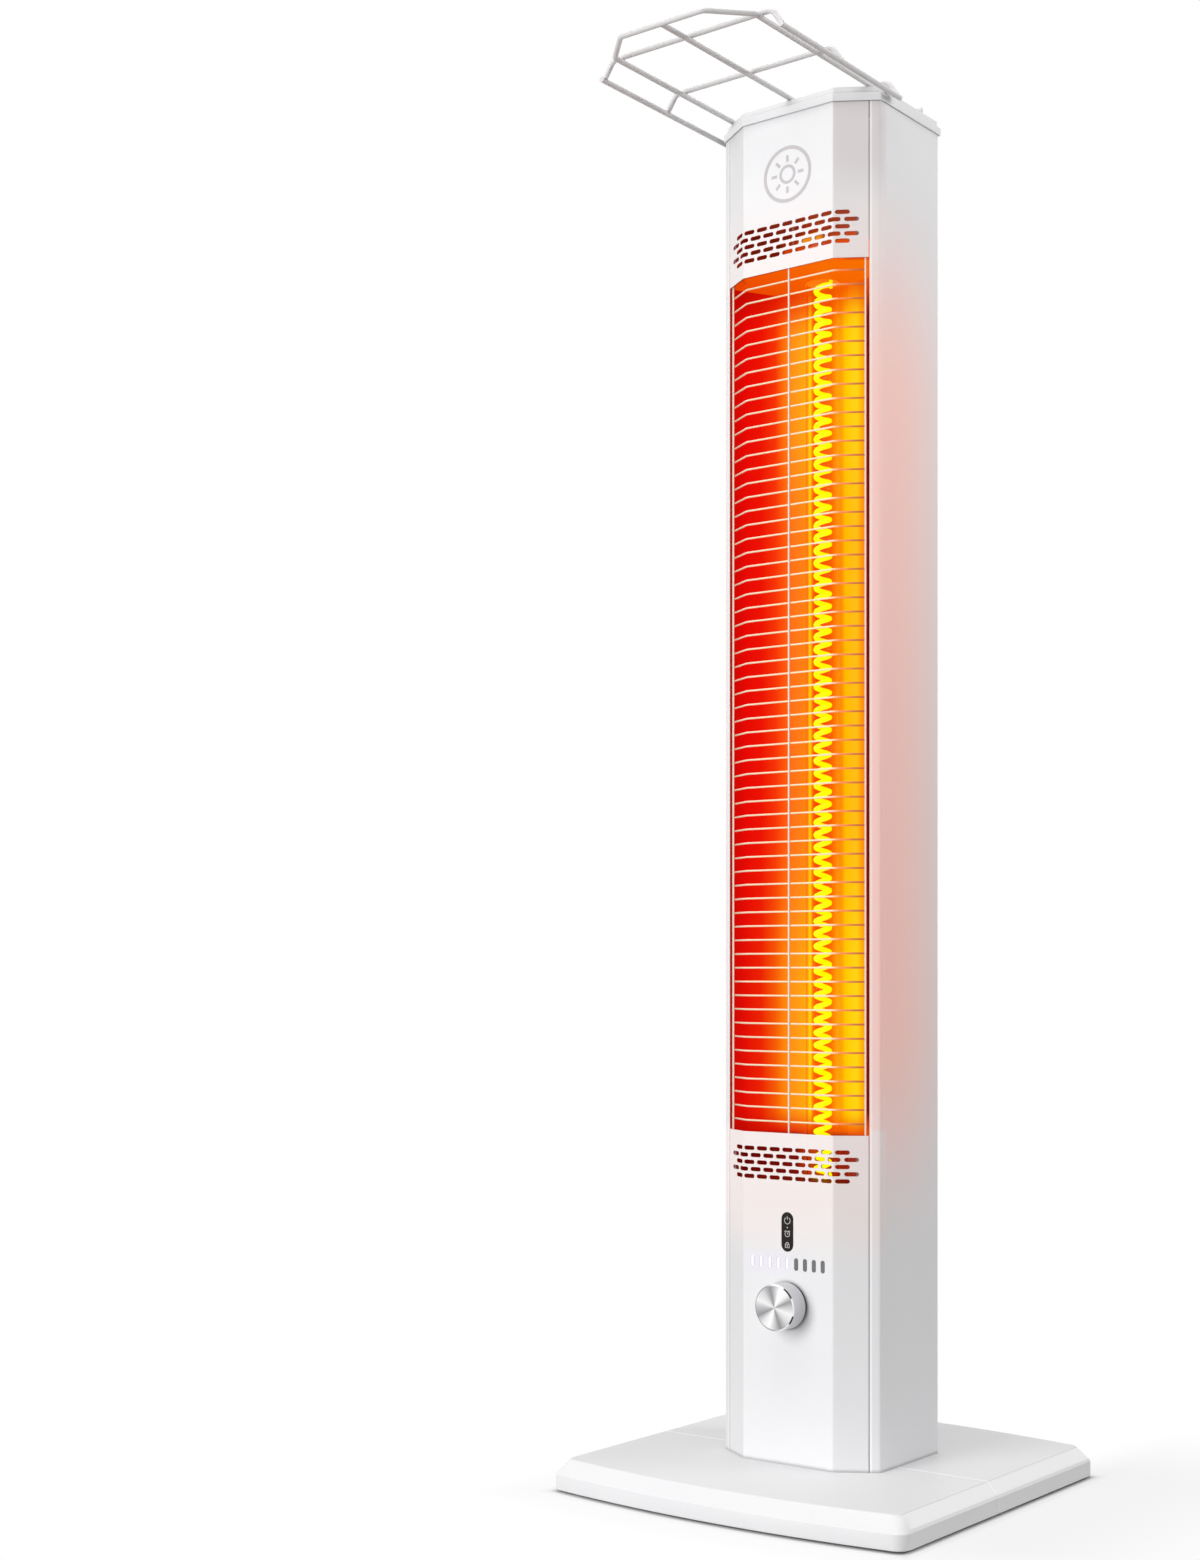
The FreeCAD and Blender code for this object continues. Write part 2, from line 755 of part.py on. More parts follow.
def overheat_cutout():
    """Disc thermostat seated on the back of the reflector's channel, with two tags."""
    seat_y = reflector_rear_y + channel_depth
    end_y = seat_y + cutout_length
    z = window_high - cutout_drop
    body = Part.makeCylinder(cutout_radius, cutout_length, vec(0, seat_y, z), vec(0, 1, 0))
    tags = [block(-cutout_tag, cutout_tag, end_y, end_y + cutout_length,
                  z + (s * cutout_radius - sheet) / 2, z + (s * cutout_radius + sheet) / 2) for s in (-1, 1)]
    return fuse([body] + tags)


def top_cap():
    """Stepped cap with a hollow underside and a spigot that locates it inside the tower."""
    lower = prism(tower_section(-cap_overhang), tower_top, tower_top + cap_lower)
    upper = prism(tower_section(cap_step - cap_overhang), tower_top + cap_lower, cap_top)
    inner = sheet * 2 + body_gap
    spigot = prism(tower_section(inner), tower_top - cap_spigot, tower_top)
    hollow = prism(tower_section(inner + cap_wall), tower_top - cap_spigot, cap_top - cap_wall)
    holes = [saddle_screw_hole(x, y) for x, y in saddle_screw_places()]
    return cut(fuse([lower, upper, spigot]), [hollow] + holes)


def housing_screws():
    """Pan-head screws through the back into the flanges of the inner plates."""
    screws = []
    for level in flange_levels():
        for x in (-base_screw_x, base_screw_x):
            seat = vec(x, back_y, level + end_flange / 2)
            head = Part.makeCylinder(screw_head_diameter / 2, screw_head, seat, vec(0, 1, 0))
            shank = Part.makeCylinder(screw_diameter / 2, sheet + end_plate + screw_tip, seat, vec(0, -1, 0))
            screws.append(fuse([head, shank]))
    return Part.makeCompound(screws)


def board_posts(width, z0, z1, y0, y1):
    x = width / 2 - standoff_inset
    posts = []
    for side in (-1, 1):
        for z in (z0 + standoff_inset, z1 - standoff_inset):
            posts.append(rod(vec(side * x, y0, z), vec(side * x, y1, z), standoff_diameter / 2))
    return Part.makeCompound(posts)


def board_face_y():
    return panel_back_y + board_gap


def control_board():
    half = board_width / 2
    return block(-half, half, board_face_y(), board_face_y() + board_thickness,
                 base_top + board_bottom, base_top + board_top)


def control_posts():
    return board_posts(board_width, base_top + board_bottom, base_top + board_top,
                       panel_back_y, board_face_y())


def encoder_body():
    """Rotary encoder on the board, with a bushing that the shaft turns in."""
    z = knob_z
    half = encoder_size / 2
    can = block(-half, half, board_face_y() - encoder_depth, board_face_y(), z - half, z + half)
    bushing = Part.makeCylinder(bushing_diameter / 2, board_face_y() - encoder_depth - front_y,
                                vec(0, front_y, z), vec(0, 1, 0))
    bore = Part.makeCylinder(shaft_diameter / 2 + running_gap, board_face_y() - encoder_floor - front_y,
                             vec(0, front_y, z), vec(0, 1, 0))
    return cut(fuse([can, bushing]), [bore])


def turned_on_knob_axis(profile):
    """A body turned about the knob axis from radius and distance in front of the panel."""
    z = knob_z
    points = [vec(r, front_y - d, z) for r, d in profile]
    face = Part.Face(Part.makePolygon(points + points[:1]))
    return face.revolve(vec(0, front_y, z), vec(0, 1, 0), 360)


def knob_collar():
    inner = bushing_diameter / 2 + body_gap
    outer = collar_diameter / 2
    return turned_on_knob_axis([(inner, 0), (outer, 0), (outer, collar_thickness), (inner, collar_thickness)])


def knob_back():
    return 2 * collar_thickness


def knob_body():
    """Hollow turned knob with a hub for the shaft and a recess for the face disc."""
    outer = knob_diameter / 2
    bore = shaft_diameter / 2 + running_gap
    recess = face_disc_diameter / 2 + running_gap
    seat = knob_stand - face_disc_thickness
    web = seat - knob_wall
    return turned_on_knob_axis([
        (bore, knob_back()), (knob_hub / 2, knob_back()), (knob_hub / 2, web), (outer - knob_wall, web),
        (outer - knob_wall, knob_back()), (outer, knob_back()), (outer, knob_stand - knob_chamfer),
        (outer - knob_chamfer, knob_stand), (recess, knob_stand), (recess, seat), (bore, seat)])


def knob_face():
    outer = face_disc_diameter / 2
    seat = knob_stand - face_disc_thickness
    return turned_on_knob_axis([(0, seat), (outer, seat), (outer, knob_stand), (0, knob_stand)])


def knob_shaft():
    radius = shaft_diameter / 2
    seat = knob_stand - face_disc_thickness
    back = board_gap + sheet - encoder_floor - 2 * body_gap
    return turned_on_knob_axis([(0, -back), (radius, -back), (radius, seat), (0, seat)])


def power_board_y():
    return wall_y - power_board_gap - board_thickness


def power_board():
    half = power_board_width / 2
    y = power_board_y()
    return block(-half, half, y, y + board_thickness,
                 base_top + power_board_bottom, base_top + power_board_top)


def power_posts():
    return board_posts(power_board_width, base_top + power_board_bottom, base_top + power_board_top,
                       wall_y - power_board_gap, wall_y)


def heat_sink():
    """Finned block on the power board."""
    y = power_board_y()
    z = base_top + power_board_top - sink_height - standoff_diameter
    half = sink_width / 2
    pieces = [block(-half, half, y - sink_base, y, z, z + sink_height)]
    step = (sink_width - sink_fin_thickness) / (sink_fin_count - 1)
    for i in range(sink_fin_count):
        x = -half + i * step
        pieces.append(block(x, x + sink_fin_thickness, y - sink_base - sink_fin_depth, y, z, z + sink_height))
    return fuse(pieces)


def terminal_block():
    """Mains terminal block on the power board with an open well for each pole."""
    y = power_board_y()
    z = base_top + power_board_bottom + standoff_diameter
    half = block_width / 2
    body = block(-half, half, y - block_depth, y, z, z + block_height)
    step = block_width / block_pole_count
    wells = []
    for i in range(block_pole_count):
        x = -half + (i + 0.5) * step
        wells.append(block(x - step / 3, x + step / 3, y - block_depth, y - block_depth / 3,
                           z - block_height, z + block_height / 2))
    return cut(body, wells)


def tilt_switch():
    """Tip-over switch standing on the tower's foot."""
    half = tilt_size / 2
    floor = base_top + end_plate
    body = block(-half, half, -half, half, floor, floor + tilt_height)
    uprights = [e for e in body.Edges if abs(e.tangentAt(0).z) > 0.99]
    return body.makeFillet(tilt_size / 8, uprights)


def cord_gland():
    """Bushing in the back wall for the mains lead."""
    z = base_top + gland_height
    outward = vec(0, 1, 0)
    flange = Part.makeCylinder(gland_flange / 2, gland_flange_thickness, vec(0, back_y, z), outward)
    nut_end = vec(0, wall_y - gland_nut_thickness, z)
    body = Part.makeCylinder(gland_body / 2, sheet + gland_nut_thickness, nut_end, outward)
    nut = Part.makeCylinder(gland_nut / 2, gland_nut_thickness, nut_end, outward)
    bore = Part.makeCylinder(gland_bore / 2, tower_depth, vec(0, 0, z), outward)
    return cut(fuse([flange, body, nut]), [bore])


def rack_wire_z():
    return cap_top + body_gap + rack_wire / 2


def rack_cross_z():
    return rack_wire_z() + rack_wire - weld_bite


def rack_loop():
    """Outer wire of the rack, bent to a blunt front end."""
    z = rack_wire_z()
    side = rack_loop_width / 2
    nose = rack_front_width / 2
    bend_y = rack_front_y + rack_chamfer_depth
    corners = [vec(-side, pivot_y, z), vec(-side, bend_y, z), vec(-nose, rack_front_y, z),
               vec(nose, rack_front_y, z), vec(side, bend_y, z), vec(side, pivot_y, z)]
    return bent_wire(corners, [rack_bend] * 4, rack_wire / 2)


def rack_centre_wire():
    z = rack_wire_z()
    front = rack_front_y + rack_wire / 2 - weld_bite
    return rod(vec(0, front, z), vec(0, pivot_y, z), rack_wire / 2)


def cross_places():
    return [cross_first_y + i * cross_pitch for i in range(cross_count)]


def rail_z():
    return tower_top + rail_rise


def rack_cross_wires():
    """Cross wires over the loop, with a leg turned down and out at both ends to carry the side rails."""
    drop = rack_cross_z() - rail_z()
    end_share = (rack_wire / 2 - weld_bite) / math.hypot(leg_lean, drop)
    knee = rail_x - leg_lean
    foot_x = rail_x - leg_lean * end_share
    foot_z = rail_z() + drop * end_share
    wires = []
    for y in cross_places():
        corners = [vec(-foot_x, y, foot_z), vec(-knee, y, rack_cross_z()),
                   vec(knee, y, rack_cross_z()), vec(foot_x, y, foot_z)]
        wires.append(bent_wire(corners, [leg_bend] * 2, rack_wire / 2))
    return Part.makeCompound(wires)


def rack_side_rails():
    y0 = cross_places()[0] - rail_overrun
    y1 = cross_places()[-1] + rail_overrun
    return Part.makeCompound([rod(vec(s * rail_x, y0, rail_z()), vec(s * rail_x, y1, rail_z()), rack_wire / 2)
                              for s in (-1, 1)])


def rack_pivot_rod():
    half = pivot_length / 2
    return rod(vec(-half, pivot_y, rack_cross_z()), vec(half, pivot_y, rack_cross_z()), rack_wire / 2)


def saddle_screw_places():
    reach = saddle_foot_length / 2 - screw_head_diameter / 2 - head_room / 2
    return [(side * saddle_x, pivot_y - reach) for side in (-1, 1)]


def saddle_screw_hole(x, y):
    """Clearance hole through a saddle's foot and the roof of the cap."""
    inner_face = vec(x, y, cap_top - cap_wall)
    return Part.makeCylinder(screw_diameter / 2 + fit_gap, cap_wall + saddle_foot, inner_face)


def rack_saddles():
    """Pillow blocks on the cap that the pivot rod turns in, each with one screwed foot."""
    pieces = []
    bore = rack_wire / 2 + running_gap
    ring = bore + saddle_ring
    for side, (screw_x, screw_y) in zip((-1, 1), saddle_screw_places()):
        x0 = side * saddle_x - saddle_width / 2
        x1 = x0 + saddle_width
        foot = block(x0, x1, pivot_y - saddle_foot_length / 2, pivot_y + ring, cap_top, cap_top + saddle_foot)
        eye = Part.makeCylinder(ring, saddle_width, vec(x0, pivot_y, rack_cross_z()), vec(1, 0, 0))
        post = block(x0, x1, pivot_y - ring, pivot_y + ring, cap_top, rack_cross_z())
        hole = Part.makeCylinder(bore, saddle_width, vec(x0, pivot_y, rack_cross_z()), vec(1, 0, 0))
        screw_hole = saddle_screw_hole(screw_x, screw_y)
        below = block(x0, x1, back_y - tower_depth, 2 * back_y, cap_top - ring, cap_top)
        pieces.append(cut(fuse([foot, eye, post]), [hole, screw_hole, below]))
    return Part.makeCompound(pieces)


def saddle_screws():
    screws = []
    for x, y in saddle_screw_places():
        head = Part.makeCylinder(screw_head_diameter / 2, screw_head, vec(x, y, cap_top + saddle_foot))
        shank = Part.makeCylinder(screw_diameter / 2, cap_wall + saddle_foot, vec(x, y, cap_top - cap_wall))
        screws.append(fuse([head, shank]))
    return Part.makeCompound(screws)


parts = {
    "base_front": base_half(-1),
    "base_rear": base_half(1),
    "base_tie_plate": tie_plate(),
    "base_floor_pan": floor_pan(),
    "corner_feet": corner_feet(),
    "centre_pad": centre_pad(),
    "base_screws": base_screws(),
    "tower_foot": tower_foot(),
    "rear_housing": rear_housing(),
    "upper_front_panel": upper_front_panel(),
    "lower_front_panel": lower_front_panel(),
    "housing_screws": housing_screws(),
    "top_cap": top_cap(),
    "guard_uprights": guard_uprights(),
    "guard_wires": guard_wires(),
    "reflector": reflector(),
    "upper_end_plate": upper_end_plate(),
    "lower_end_plate": lower_end_plate(),
    "quartz_tube": quartz_tube(),
    "upper_tube_cap": tube_cap(window_high + end_plate, 1),
    "lower_tube_cap": tube_cap(chamber_low - end_plate, -1),
    "heating_coil": heating_coil(),
    "coil_terminals": coil_terminals(),
    "overheat_cutout": overheat_cutout(),
    "display_window": display_window(),
    "level_lenses_lit": level_lenses(0, lit_level_count),
    "level_lenses_unlit": level_lenses(lit_level_count, level_count),
    "control_board": control_board(),
    "control_posts": control_posts(),
    "encoder_body": encoder_body(),
    "knob_collar": knob_collar(),
    "knob_body": knob_body(),
    "knob_face": knob_face(),
    "knob_shaft": knob_shaft(),
    "power_board": power_board(),
    "power_posts": power_posts(),
    "heat_sink": heat_sink(),
    "terminal_block": terminal_block(),
    "tilt_switch": tilt_switch(),
    "cord_gland": cord_gland(),
    "rack_loop": rack_loop(),
    "rack_centre_wire": rack_centre_wire(),
    "rack_cross_wires": rack_cross_wires(),
    "rack_side_rails": rack_side_rails(),
    "rack_pivot_rod": rack_pivot_rod(),
    "rack_saddles": rack_saddles(),
    "saddle_screws": saddle_screws(),
}

os.makedirs("parts", exist_ok=True)
for name, shape in parts.items():
    shape.exportStep("parts/" + name + ".step")
    print(name, "solids", len(shape.Solids), "valid", shape.isValid(), "volume", round(shape.Volume, 1))
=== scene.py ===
# %% [markdown]
# # An infrared patio heater
# The heater is a slim white tower on a flat base, with a glowing coil behind a wire guard, a control panel
# with a knob, and a folding wire rack on top. Its solids come from the frame. This lesson dresses them: each
# cell adds one piece or one finish, and says what it is on the real heater.

import bpy
import bmesh
import json
import math
from mathutils import Matrix, Vector


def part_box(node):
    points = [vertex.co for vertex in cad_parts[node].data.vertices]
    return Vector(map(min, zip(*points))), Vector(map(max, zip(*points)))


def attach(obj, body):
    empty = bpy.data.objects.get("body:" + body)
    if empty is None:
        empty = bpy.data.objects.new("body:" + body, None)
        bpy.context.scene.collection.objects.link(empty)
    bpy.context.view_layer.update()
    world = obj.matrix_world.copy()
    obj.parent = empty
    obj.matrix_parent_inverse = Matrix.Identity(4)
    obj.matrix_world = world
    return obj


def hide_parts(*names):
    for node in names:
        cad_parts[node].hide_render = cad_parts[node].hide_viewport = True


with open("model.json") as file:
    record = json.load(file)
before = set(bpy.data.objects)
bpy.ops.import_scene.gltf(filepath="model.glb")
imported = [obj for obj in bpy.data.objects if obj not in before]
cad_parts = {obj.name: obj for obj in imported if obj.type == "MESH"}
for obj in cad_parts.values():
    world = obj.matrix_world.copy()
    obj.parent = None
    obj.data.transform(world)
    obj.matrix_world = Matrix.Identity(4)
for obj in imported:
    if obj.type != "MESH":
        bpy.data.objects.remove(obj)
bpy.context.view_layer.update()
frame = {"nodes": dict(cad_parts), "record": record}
nodes = frame["nodes"]
MM = 0.001

# %% [markdown]
# ## Shared grain
# Paint, plastic and metal are never one flat colour: light catches tiny unevenness in them. Two noises of
# different size could be wired into each material, but a node group does it once. The group gives a mask
# for colour and roughness and a height for bump, and each material sets its own scale on it.


# %% Node group for fine grain
def add_node(tree, kind, **values):
    """Add a node; names that match one of its inputs set that input, others set the node itself."""
    node = tree.nodes.new(kind)
    for name, value in values.items():
        label = name.replace("_", " ").title()
        if label in node.inputs:
            node.inputs[label].default_value = value
        else:
            setattr(node, name, value)
    return node


grain_group = bpy.data.node_groups.new("surface_grain", "ShaderNodeTree")
scale_socket = grain_group.interface.new_socket("Scale", in_out="INPUT", socket_type="NodeSocketFloat")
scale_socket.default_value = 400.0
for socket_name in ("Mask", "Height"):
    grain_group.interface.new_socket(socket_name, in_out="OUTPUT", socket_type="NodeSocketFloat")

grain_in = add_node(grain_group, "NodeGroupInput")
grain_out = add_node(grain_group, "NodeGroupOutput")
grain_place = add_node(grain_group, "ShaderNodeTexCoord")
fine_noise = add_node(grain_group, "ShaderNodeTexNoise", detail=2.0)
broad_noise = add_node(grain_group, "ShaderNodeTexNoise", scale=9.0, detail=2.0)
broad_half = add_node(grain_group, "ShaderNodeMath", operation="MULTIPLY")
broad_half.inputs[1].default_value = 0.5
both_halves = add_node(grain_group, "ShaderNodeMath", operation="MULTIPLY_ADD")
both_halves.inputs[1].default_value = 0.5
wire = grain_group.links.new
wire(grain_place.outputs["Object"], fine_noise.inputs["Vector"])
wire(grain_in.outputs["Scale"], fine_noise.inputs["Scale"])
wire(grain_place.outputs["Object"], broad_noise.inputs["Vector"])
wire(broad_noise.outputs[0], broad_half.inputs[0])
wire(fine_noise.outputs[0], both_halves.inputs[0])
wire(broad_half.outputs[0], both_halves.inputs[2])
wire(both_halves.outputs[0], grain_out.inputs["Mask"])
wire(fine_noise.outputs[0], grain_out.inputs["Height"])
print("group", grain_group.name, "with", len(grain_group.nodes), "nodes")

# %% [markdown]
# ## Colours and ranges
# A shader wants colours in linear light, but colours are easier to pick as the screen shows them. The first
# two helpers turn one into the other. The next two place a colour ramp and a Map Range node, which most
# finishes need. Both could be clicked together each time, and a function keeps their settings in one place.


# %% Helpers for colours and ranges
def screen(red, green, blue):
    """A colour as written for the screen, 0 to 255, as the linear values that a shader takes."""
    parts = []
    for level in (red, green, blue):
        share = level / 255
        parts.append(share / 12.92 if share < 0.0404 else ((share + 0.055) / 1.055) ** 2.4)
    return (*parts, 1.0)


def neutral(level):
    """A grey as written for the screen."""
    return screen(level, level, level)


def ramp(tree, stops, source):
    """The colour of a ramp through (place, colour) stops, fed from a socket."""
    node = tree.nodes.new("ShaderNodeValToRGB")
    elements = node.color_ramp.elements
    while len(elements) < len(stops):
        elements.new(0.5)
    for element, (place, colour) in zip(elements, stops):
        element.position = place
        element.color = colour
    tree.links.new(source, node.inputs["Fac"])
    return node.outputs["Color"]


def scaled(tree, socket, low, high, to_low=0.0, to_high=1.0, smooth=False):
    """A socket's range from low to high, moved to another range."""
    node = add_node(tree, "ShaderNodeMapRange", from_min=low, from_max=high, to_min=to_low, to_max=to_high)
    if smooth:
        node.interpolation_type = "SMOOTHSTEP"
    tree.links.new(socket, node.inputs["Value"])
    return node.outputs["Result"]


print("white on the screen is", neutral(255))

# %% [markdown]
# ## A finish from the grain
# Most surfaces differ only in colour, shine and how coarse their grain is. One function builds such a
# finish: the grain's mask moves the colour between two close shades and the roughness between two values,
# and its height feeds a bump. Values that are the same all over go straight on the shader.


# %% Function for a grained finish
def parts_of(material):
    """The node tree and the shader of a finish."""
    return material.node_tree, material.node_tree.nodes["Principled BSDF"]


def new_material(name):
    material = bpy.data.materials.new(name)
    material.use_nodes = True
    return material, *parts_of(material)


def grain_of(tree, scale):
    """Place the grain in a material, with a scale of its own."""
    grain = tree.nodes.new("ShaderNodeGroup")
    grain.node_tree = grain_group
    grain.inputs["Scale"].default_value = scale
    return grain


def grained(name, light, dark, shine, metallic=0.0, scale=400.0, bump=0.02):
    """A finish whose colour and roughness wander a little with the grain."""
    material, tree, shader = new_material(name)
    grain = grain_of(tree, scale)
    mask = grain.outputs["Mask"]
    relief = add_node(tree, "ShaderNodeBump", strength=bump, distance=0.5 * MM)
    tree.links.new(ramp(tree, [(0.3, dark), (0.7, light)], mask), shader.inputs["Base Color"])
    tree.links.new(scaled(tree, mask, 0.25, 0.75, *shine), shader.inputs["Roughness"])
    tree.links.new(grain.outputs["Height"], relief.inputs["Height"])
    tree.links.new(relief.outputs["Normal"], shader.inputs["Normal"])
    shader.inputs["Metallic"].default_value = metallic
    return material


finishes = {
    "white_wire": grained("white_wire", screen(236, 235, 236), screen(226, 225, 227), (0.3, 0.4)),
    "rack_wire": grained("rack_wire", screen(224, 222, 222), screen(214, 212, 212), (0.3, 0.4)),
    "plated_steel": grained("plated_steel", screen(190, 190, 192), screen(165, 165, 168), (0.25, 0.4), 1.0),
    "foot_rubber": grained("foot_rubber", screen(46, 46, 48), screen(34, 34, 36), (0.75, 0.9), bump=0.1),
    "cap_ceramic": grained("cap_ceramic", screen(228, 222, 210), screen(212, 204, 190), (0.5, 0.65)),
    "board_green": grained("board_green", screen(28, 92, 58), screen(20, 74, 46), (0.35, 0.5), scale=250),
    "dark_trim": grained("dark_trim", screen(38, 38, 41), screen(28, 28, 31), (0.45, 0.6), bump=0.05),
    "sink_metal": grained("sink_metal", screen(196, 198, 202), screen(176, 178, 182), (0.3, 0.45), 1.0),
}
print("grained finishes", len(finishes))

# %% [markdown]
# ## Painted shade in the creases
# Where two panels meet, little light gets in, so that seams and steps show as thin grey lines. This shade is
# painted into the colour. It could be drawn by hand, but the ambient occlusion node finds the creases: it
# measures how closed-in a point is, over a few millimetres only, and the shell's colour turns grey with it.


# %% Function for painted crease shade
def feed(tree, socket, source):
    """Link a socket to its source, or set it where the source is a plain value."""
    if isinstance(source, bpy.types.NodeSocket):
        tree.links.new(source, socket)
    else:
        socket.default_value = source


def mixed(tree, mask, first, second):
    """A colour that goes from the first socket or colour to the second with the mask."""
    node = add_node(tree, "ShaderNodeMix", data_type="RGBA")
    tree.links.new(mask, node.inputs["Factor"])
    feed(tree, node.inputs[6], first)
    feed(tree, node.inputs[7], second)
    return node.outputs[2]


def paint_of(shader):
    """The socket that feeds the shader's colour."""
    return shader.inputs["Base Color"].links[0].from_socket


def paint_crease_shade(material, reach, shade):
    """Paint shade into a finish where it is closed in within a reach."""
    tree, shader = parts_of(material)
    closed_in = add_node(tree, "ShaderNodeAmbientOcclusion", distance=reach, samples=8)
    open_share = scaled(tree, closed_in.outputs["AO"], 0.35, 0.85)
    tree.links.new(mixed(tree, open_share, shade, paint_of(shader)), shader.inputs["Base Color"])


def shell(name, reach, shade):
    """Satin white moulding with painted shade in its creases."""
    material = grained(name, screen(240, 240, 241), screen(235, 235, 237), (0.38, 0.48), scale=900)
    paint_crease_shade(material, reach, shade)
    return material


shell_shade = screen(168, 166, 167)
finishes["white_shell"] = shell("white_shell", 4 * MM, shell_shade)
cap_shell = shell("cap_shell", 9 * MM, screen(126, 124, 124))
print("creases on base and cap")

# %% [markdown]
# ## Masks from a point's place
# Much of what follows depends on where a point lies: near the window, on a chamfer, along a seam. Masks
# painted by hand would have to be painted again after every change of size. Masks that rise and fall at set
# distances from places in the frame move with the solids.


# %% Helpers for masks
def worked(tree, operation, first, second=None):
    """A Math node's output; each input is a socket or a number."""
    node = add_node(tree, "ShaderNodeMath", operation=operation)
    feed(tree, node.inputs[0], first)
    if second is not None:
        feed(tree, node.inputs[1], second)
    return node.outputs[0]


def multiply(tree, first, *others):
    """The product of sockets or numbers."""
    product = first
    for other in others:
        product = worked(tree, "MULTIPLY", product, other)
    return product


def inverse(tree, mask):
    return worked(tree, "SUBTRACT", 1.0, mask)


def split_place(tree):
    """The X, Y and Z sockets of a point's place on the object."""
    place = tree.nodes.new("ShaderNodeTexCoord")
    parts = tree.nodes.new("ShaderNodeSeparateXYZ")
    tree.links.new(place.outputs["Object"], parts.inputs[0])
    return parts.outputs


def rises(tree, socket, place, start, full):
    """A mask that goes from 0 to 1 between two distances from a place, in millimetres."""
    return scaled(tree, socket, place + start * MM, place + full * MM, smooth=True)


def falls(tree, socket, place, full, end):
    """A mask that goes from 1 to 0 between two distances from a place, in millimetres."""
    return scaled(tree, socket, place + full * MM, place + end * MM, 1.0, 0.0, smooth=True)


def band(tree, socket, low, high, start, full, still_full, end):
    """A mask that rises near a low place and falls near a high one."""
    return multiply(tree, rises(tree, socket, low, start, full), falls(tree, socket, high, still_full, end))


window_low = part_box("guard_uprights")[0][2]
window_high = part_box("guard_uprights")[1][2]
print("window from", round(window_low / MM), "to", round(window_high / MM), "mm")

# %% [markdown]
# ## How deep a point lies
# The tower is folded from thin sheet: a front, two chamfers, two sides and a back. Light from the coil shows
# on what lies behind this skin. A second material for the inner faces would need them picked one by one. The
# smallest of a point's distances from the flat sides does it for all. The outer bends are rounded, so a
# little is taken off there, or they would glow too.

# %% Depth behind the skin
tower_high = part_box("rear_housing")[1]
tower_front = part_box("upper_front_panel")[0][1]
seam_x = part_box("upper_front_panel")[1][0]
fold_x = 36.75 * MM
chamfer_turn = math.atan2(17.7, 27.25)
bend_rounding = 0.65 * MM


def skin_depth(tree, x, y):
    """How far a point lies behind the tower's skin, less the rounding of the bends at the sides and back."""
    aside = worked(tree, "ABSOLUTE", x)
    from_front = worked(tree, "SUBTRACT", y, tower_front)
    past_fold = worked(tree, "SUBTRACT", aside, fold_x)
    from_chamfer = worked(tree, "SUBTRACT", multiply(tree, from_front, math.cos(chamfer_turn)),
                          multiply(tree, past_fold, math.sin(chamfer_turn)))
    from_back = worked(tree, "SUBTRACT", tower_high[1], y)
    from_side = worked(tree, "SUBTRACT", tower_high[0], aside)
    depth = from_front
    for other in (from_chamfer, from_back, from_side):
        depth = worked(tree, "MINIMUM", depth, other)
    side_bend = rises(tree, aside, 0, 57.5, 58.5)
    back_bend = rises(tree, y, 0, 38, 40)
    bends = worked(tree, "MAXIMUM", side_bend, back_bend)
    return worked(tree, "SUBTRACT", depth, multiply(tree, bends, bend_rounding))


print("chamfers turn by", round(math.degrees(chamfer_turn), 1), "degrees")

# %% [markdown]
# ## Light inside the tower
# Through the vents one looks into a red-lit space: dull red cut edges, redder walls, and orange where light
# leaks over the window's upper end. Real lamps inside would be slow and noisy behind such small slots, so
# the walls give off the light themselves, in ramps on their place.


# %% Light inside the tower
def across(tree, socket, stops, half=58.0):
    """A ramp on the place across the tower, from (millimetres, colour) stops."""
    shares = [((mm / half + 1) / 2, screen(*colour)) for mm, colour in stops]
    return ramp(tree, shares, scaled(tree, socket, -half * MM, half * MM))


def light_inside(tree, x, y, z):
    """Dull red on cut edges, redder on the walls behind them, and orange close over the window."""
    walls = across(tree, x, [(-63, (88, 6, 4)), (-47, (150, 34, 6)), (-38, (168, 52, 10)),
                             (-25, (150, 48, 22)), (-5, (160, 66, 42)), (63, (120, 30, 16))], half=64.0)
    deep = rises(tree, y, 0, -20, -5)
    above = rises(tree, z, window_high, 0, 20)
    dim = mixed(tree, multiply(tree, deep, above), screen(96, 10, 4), walls)
    at_back = rises(tree, y, 0, 38, 48)
    close_over = band(tree, z, window_high, window_high, 2, 6, 12, 18)
    far_over = band(tree, z, window_high, window_high, 2, 6, 34, 52)
    leak = worked(tree, "MAXIMUM", multiply(tree, close_over, deep), multiply(tree, far_over, at_back))
    leaked = mixed(tree, leak, dim, screen(226, 78, 0))
    spot_x = band(tree, x, 0, 0, -55, -50, -36, -30)
    spot_z = band(tree, z, window_high, window_high, 43.4, 44.6, 50.2, 51.4)
    return mixed(tree, multiply(tree, at_back, spot_x, spot_z), leaked, screen(240, 146, 22))


def glowing(tree, shader, source, strength=1.0):
    """Let a finish give off light of its own, in a colour from a socket or a plain one."""
    feed(tree, shader.inputs["Emission Color"], source)
    shader.inputs["Emission Strength"].default_value = strength


print("helpers for the light inside")
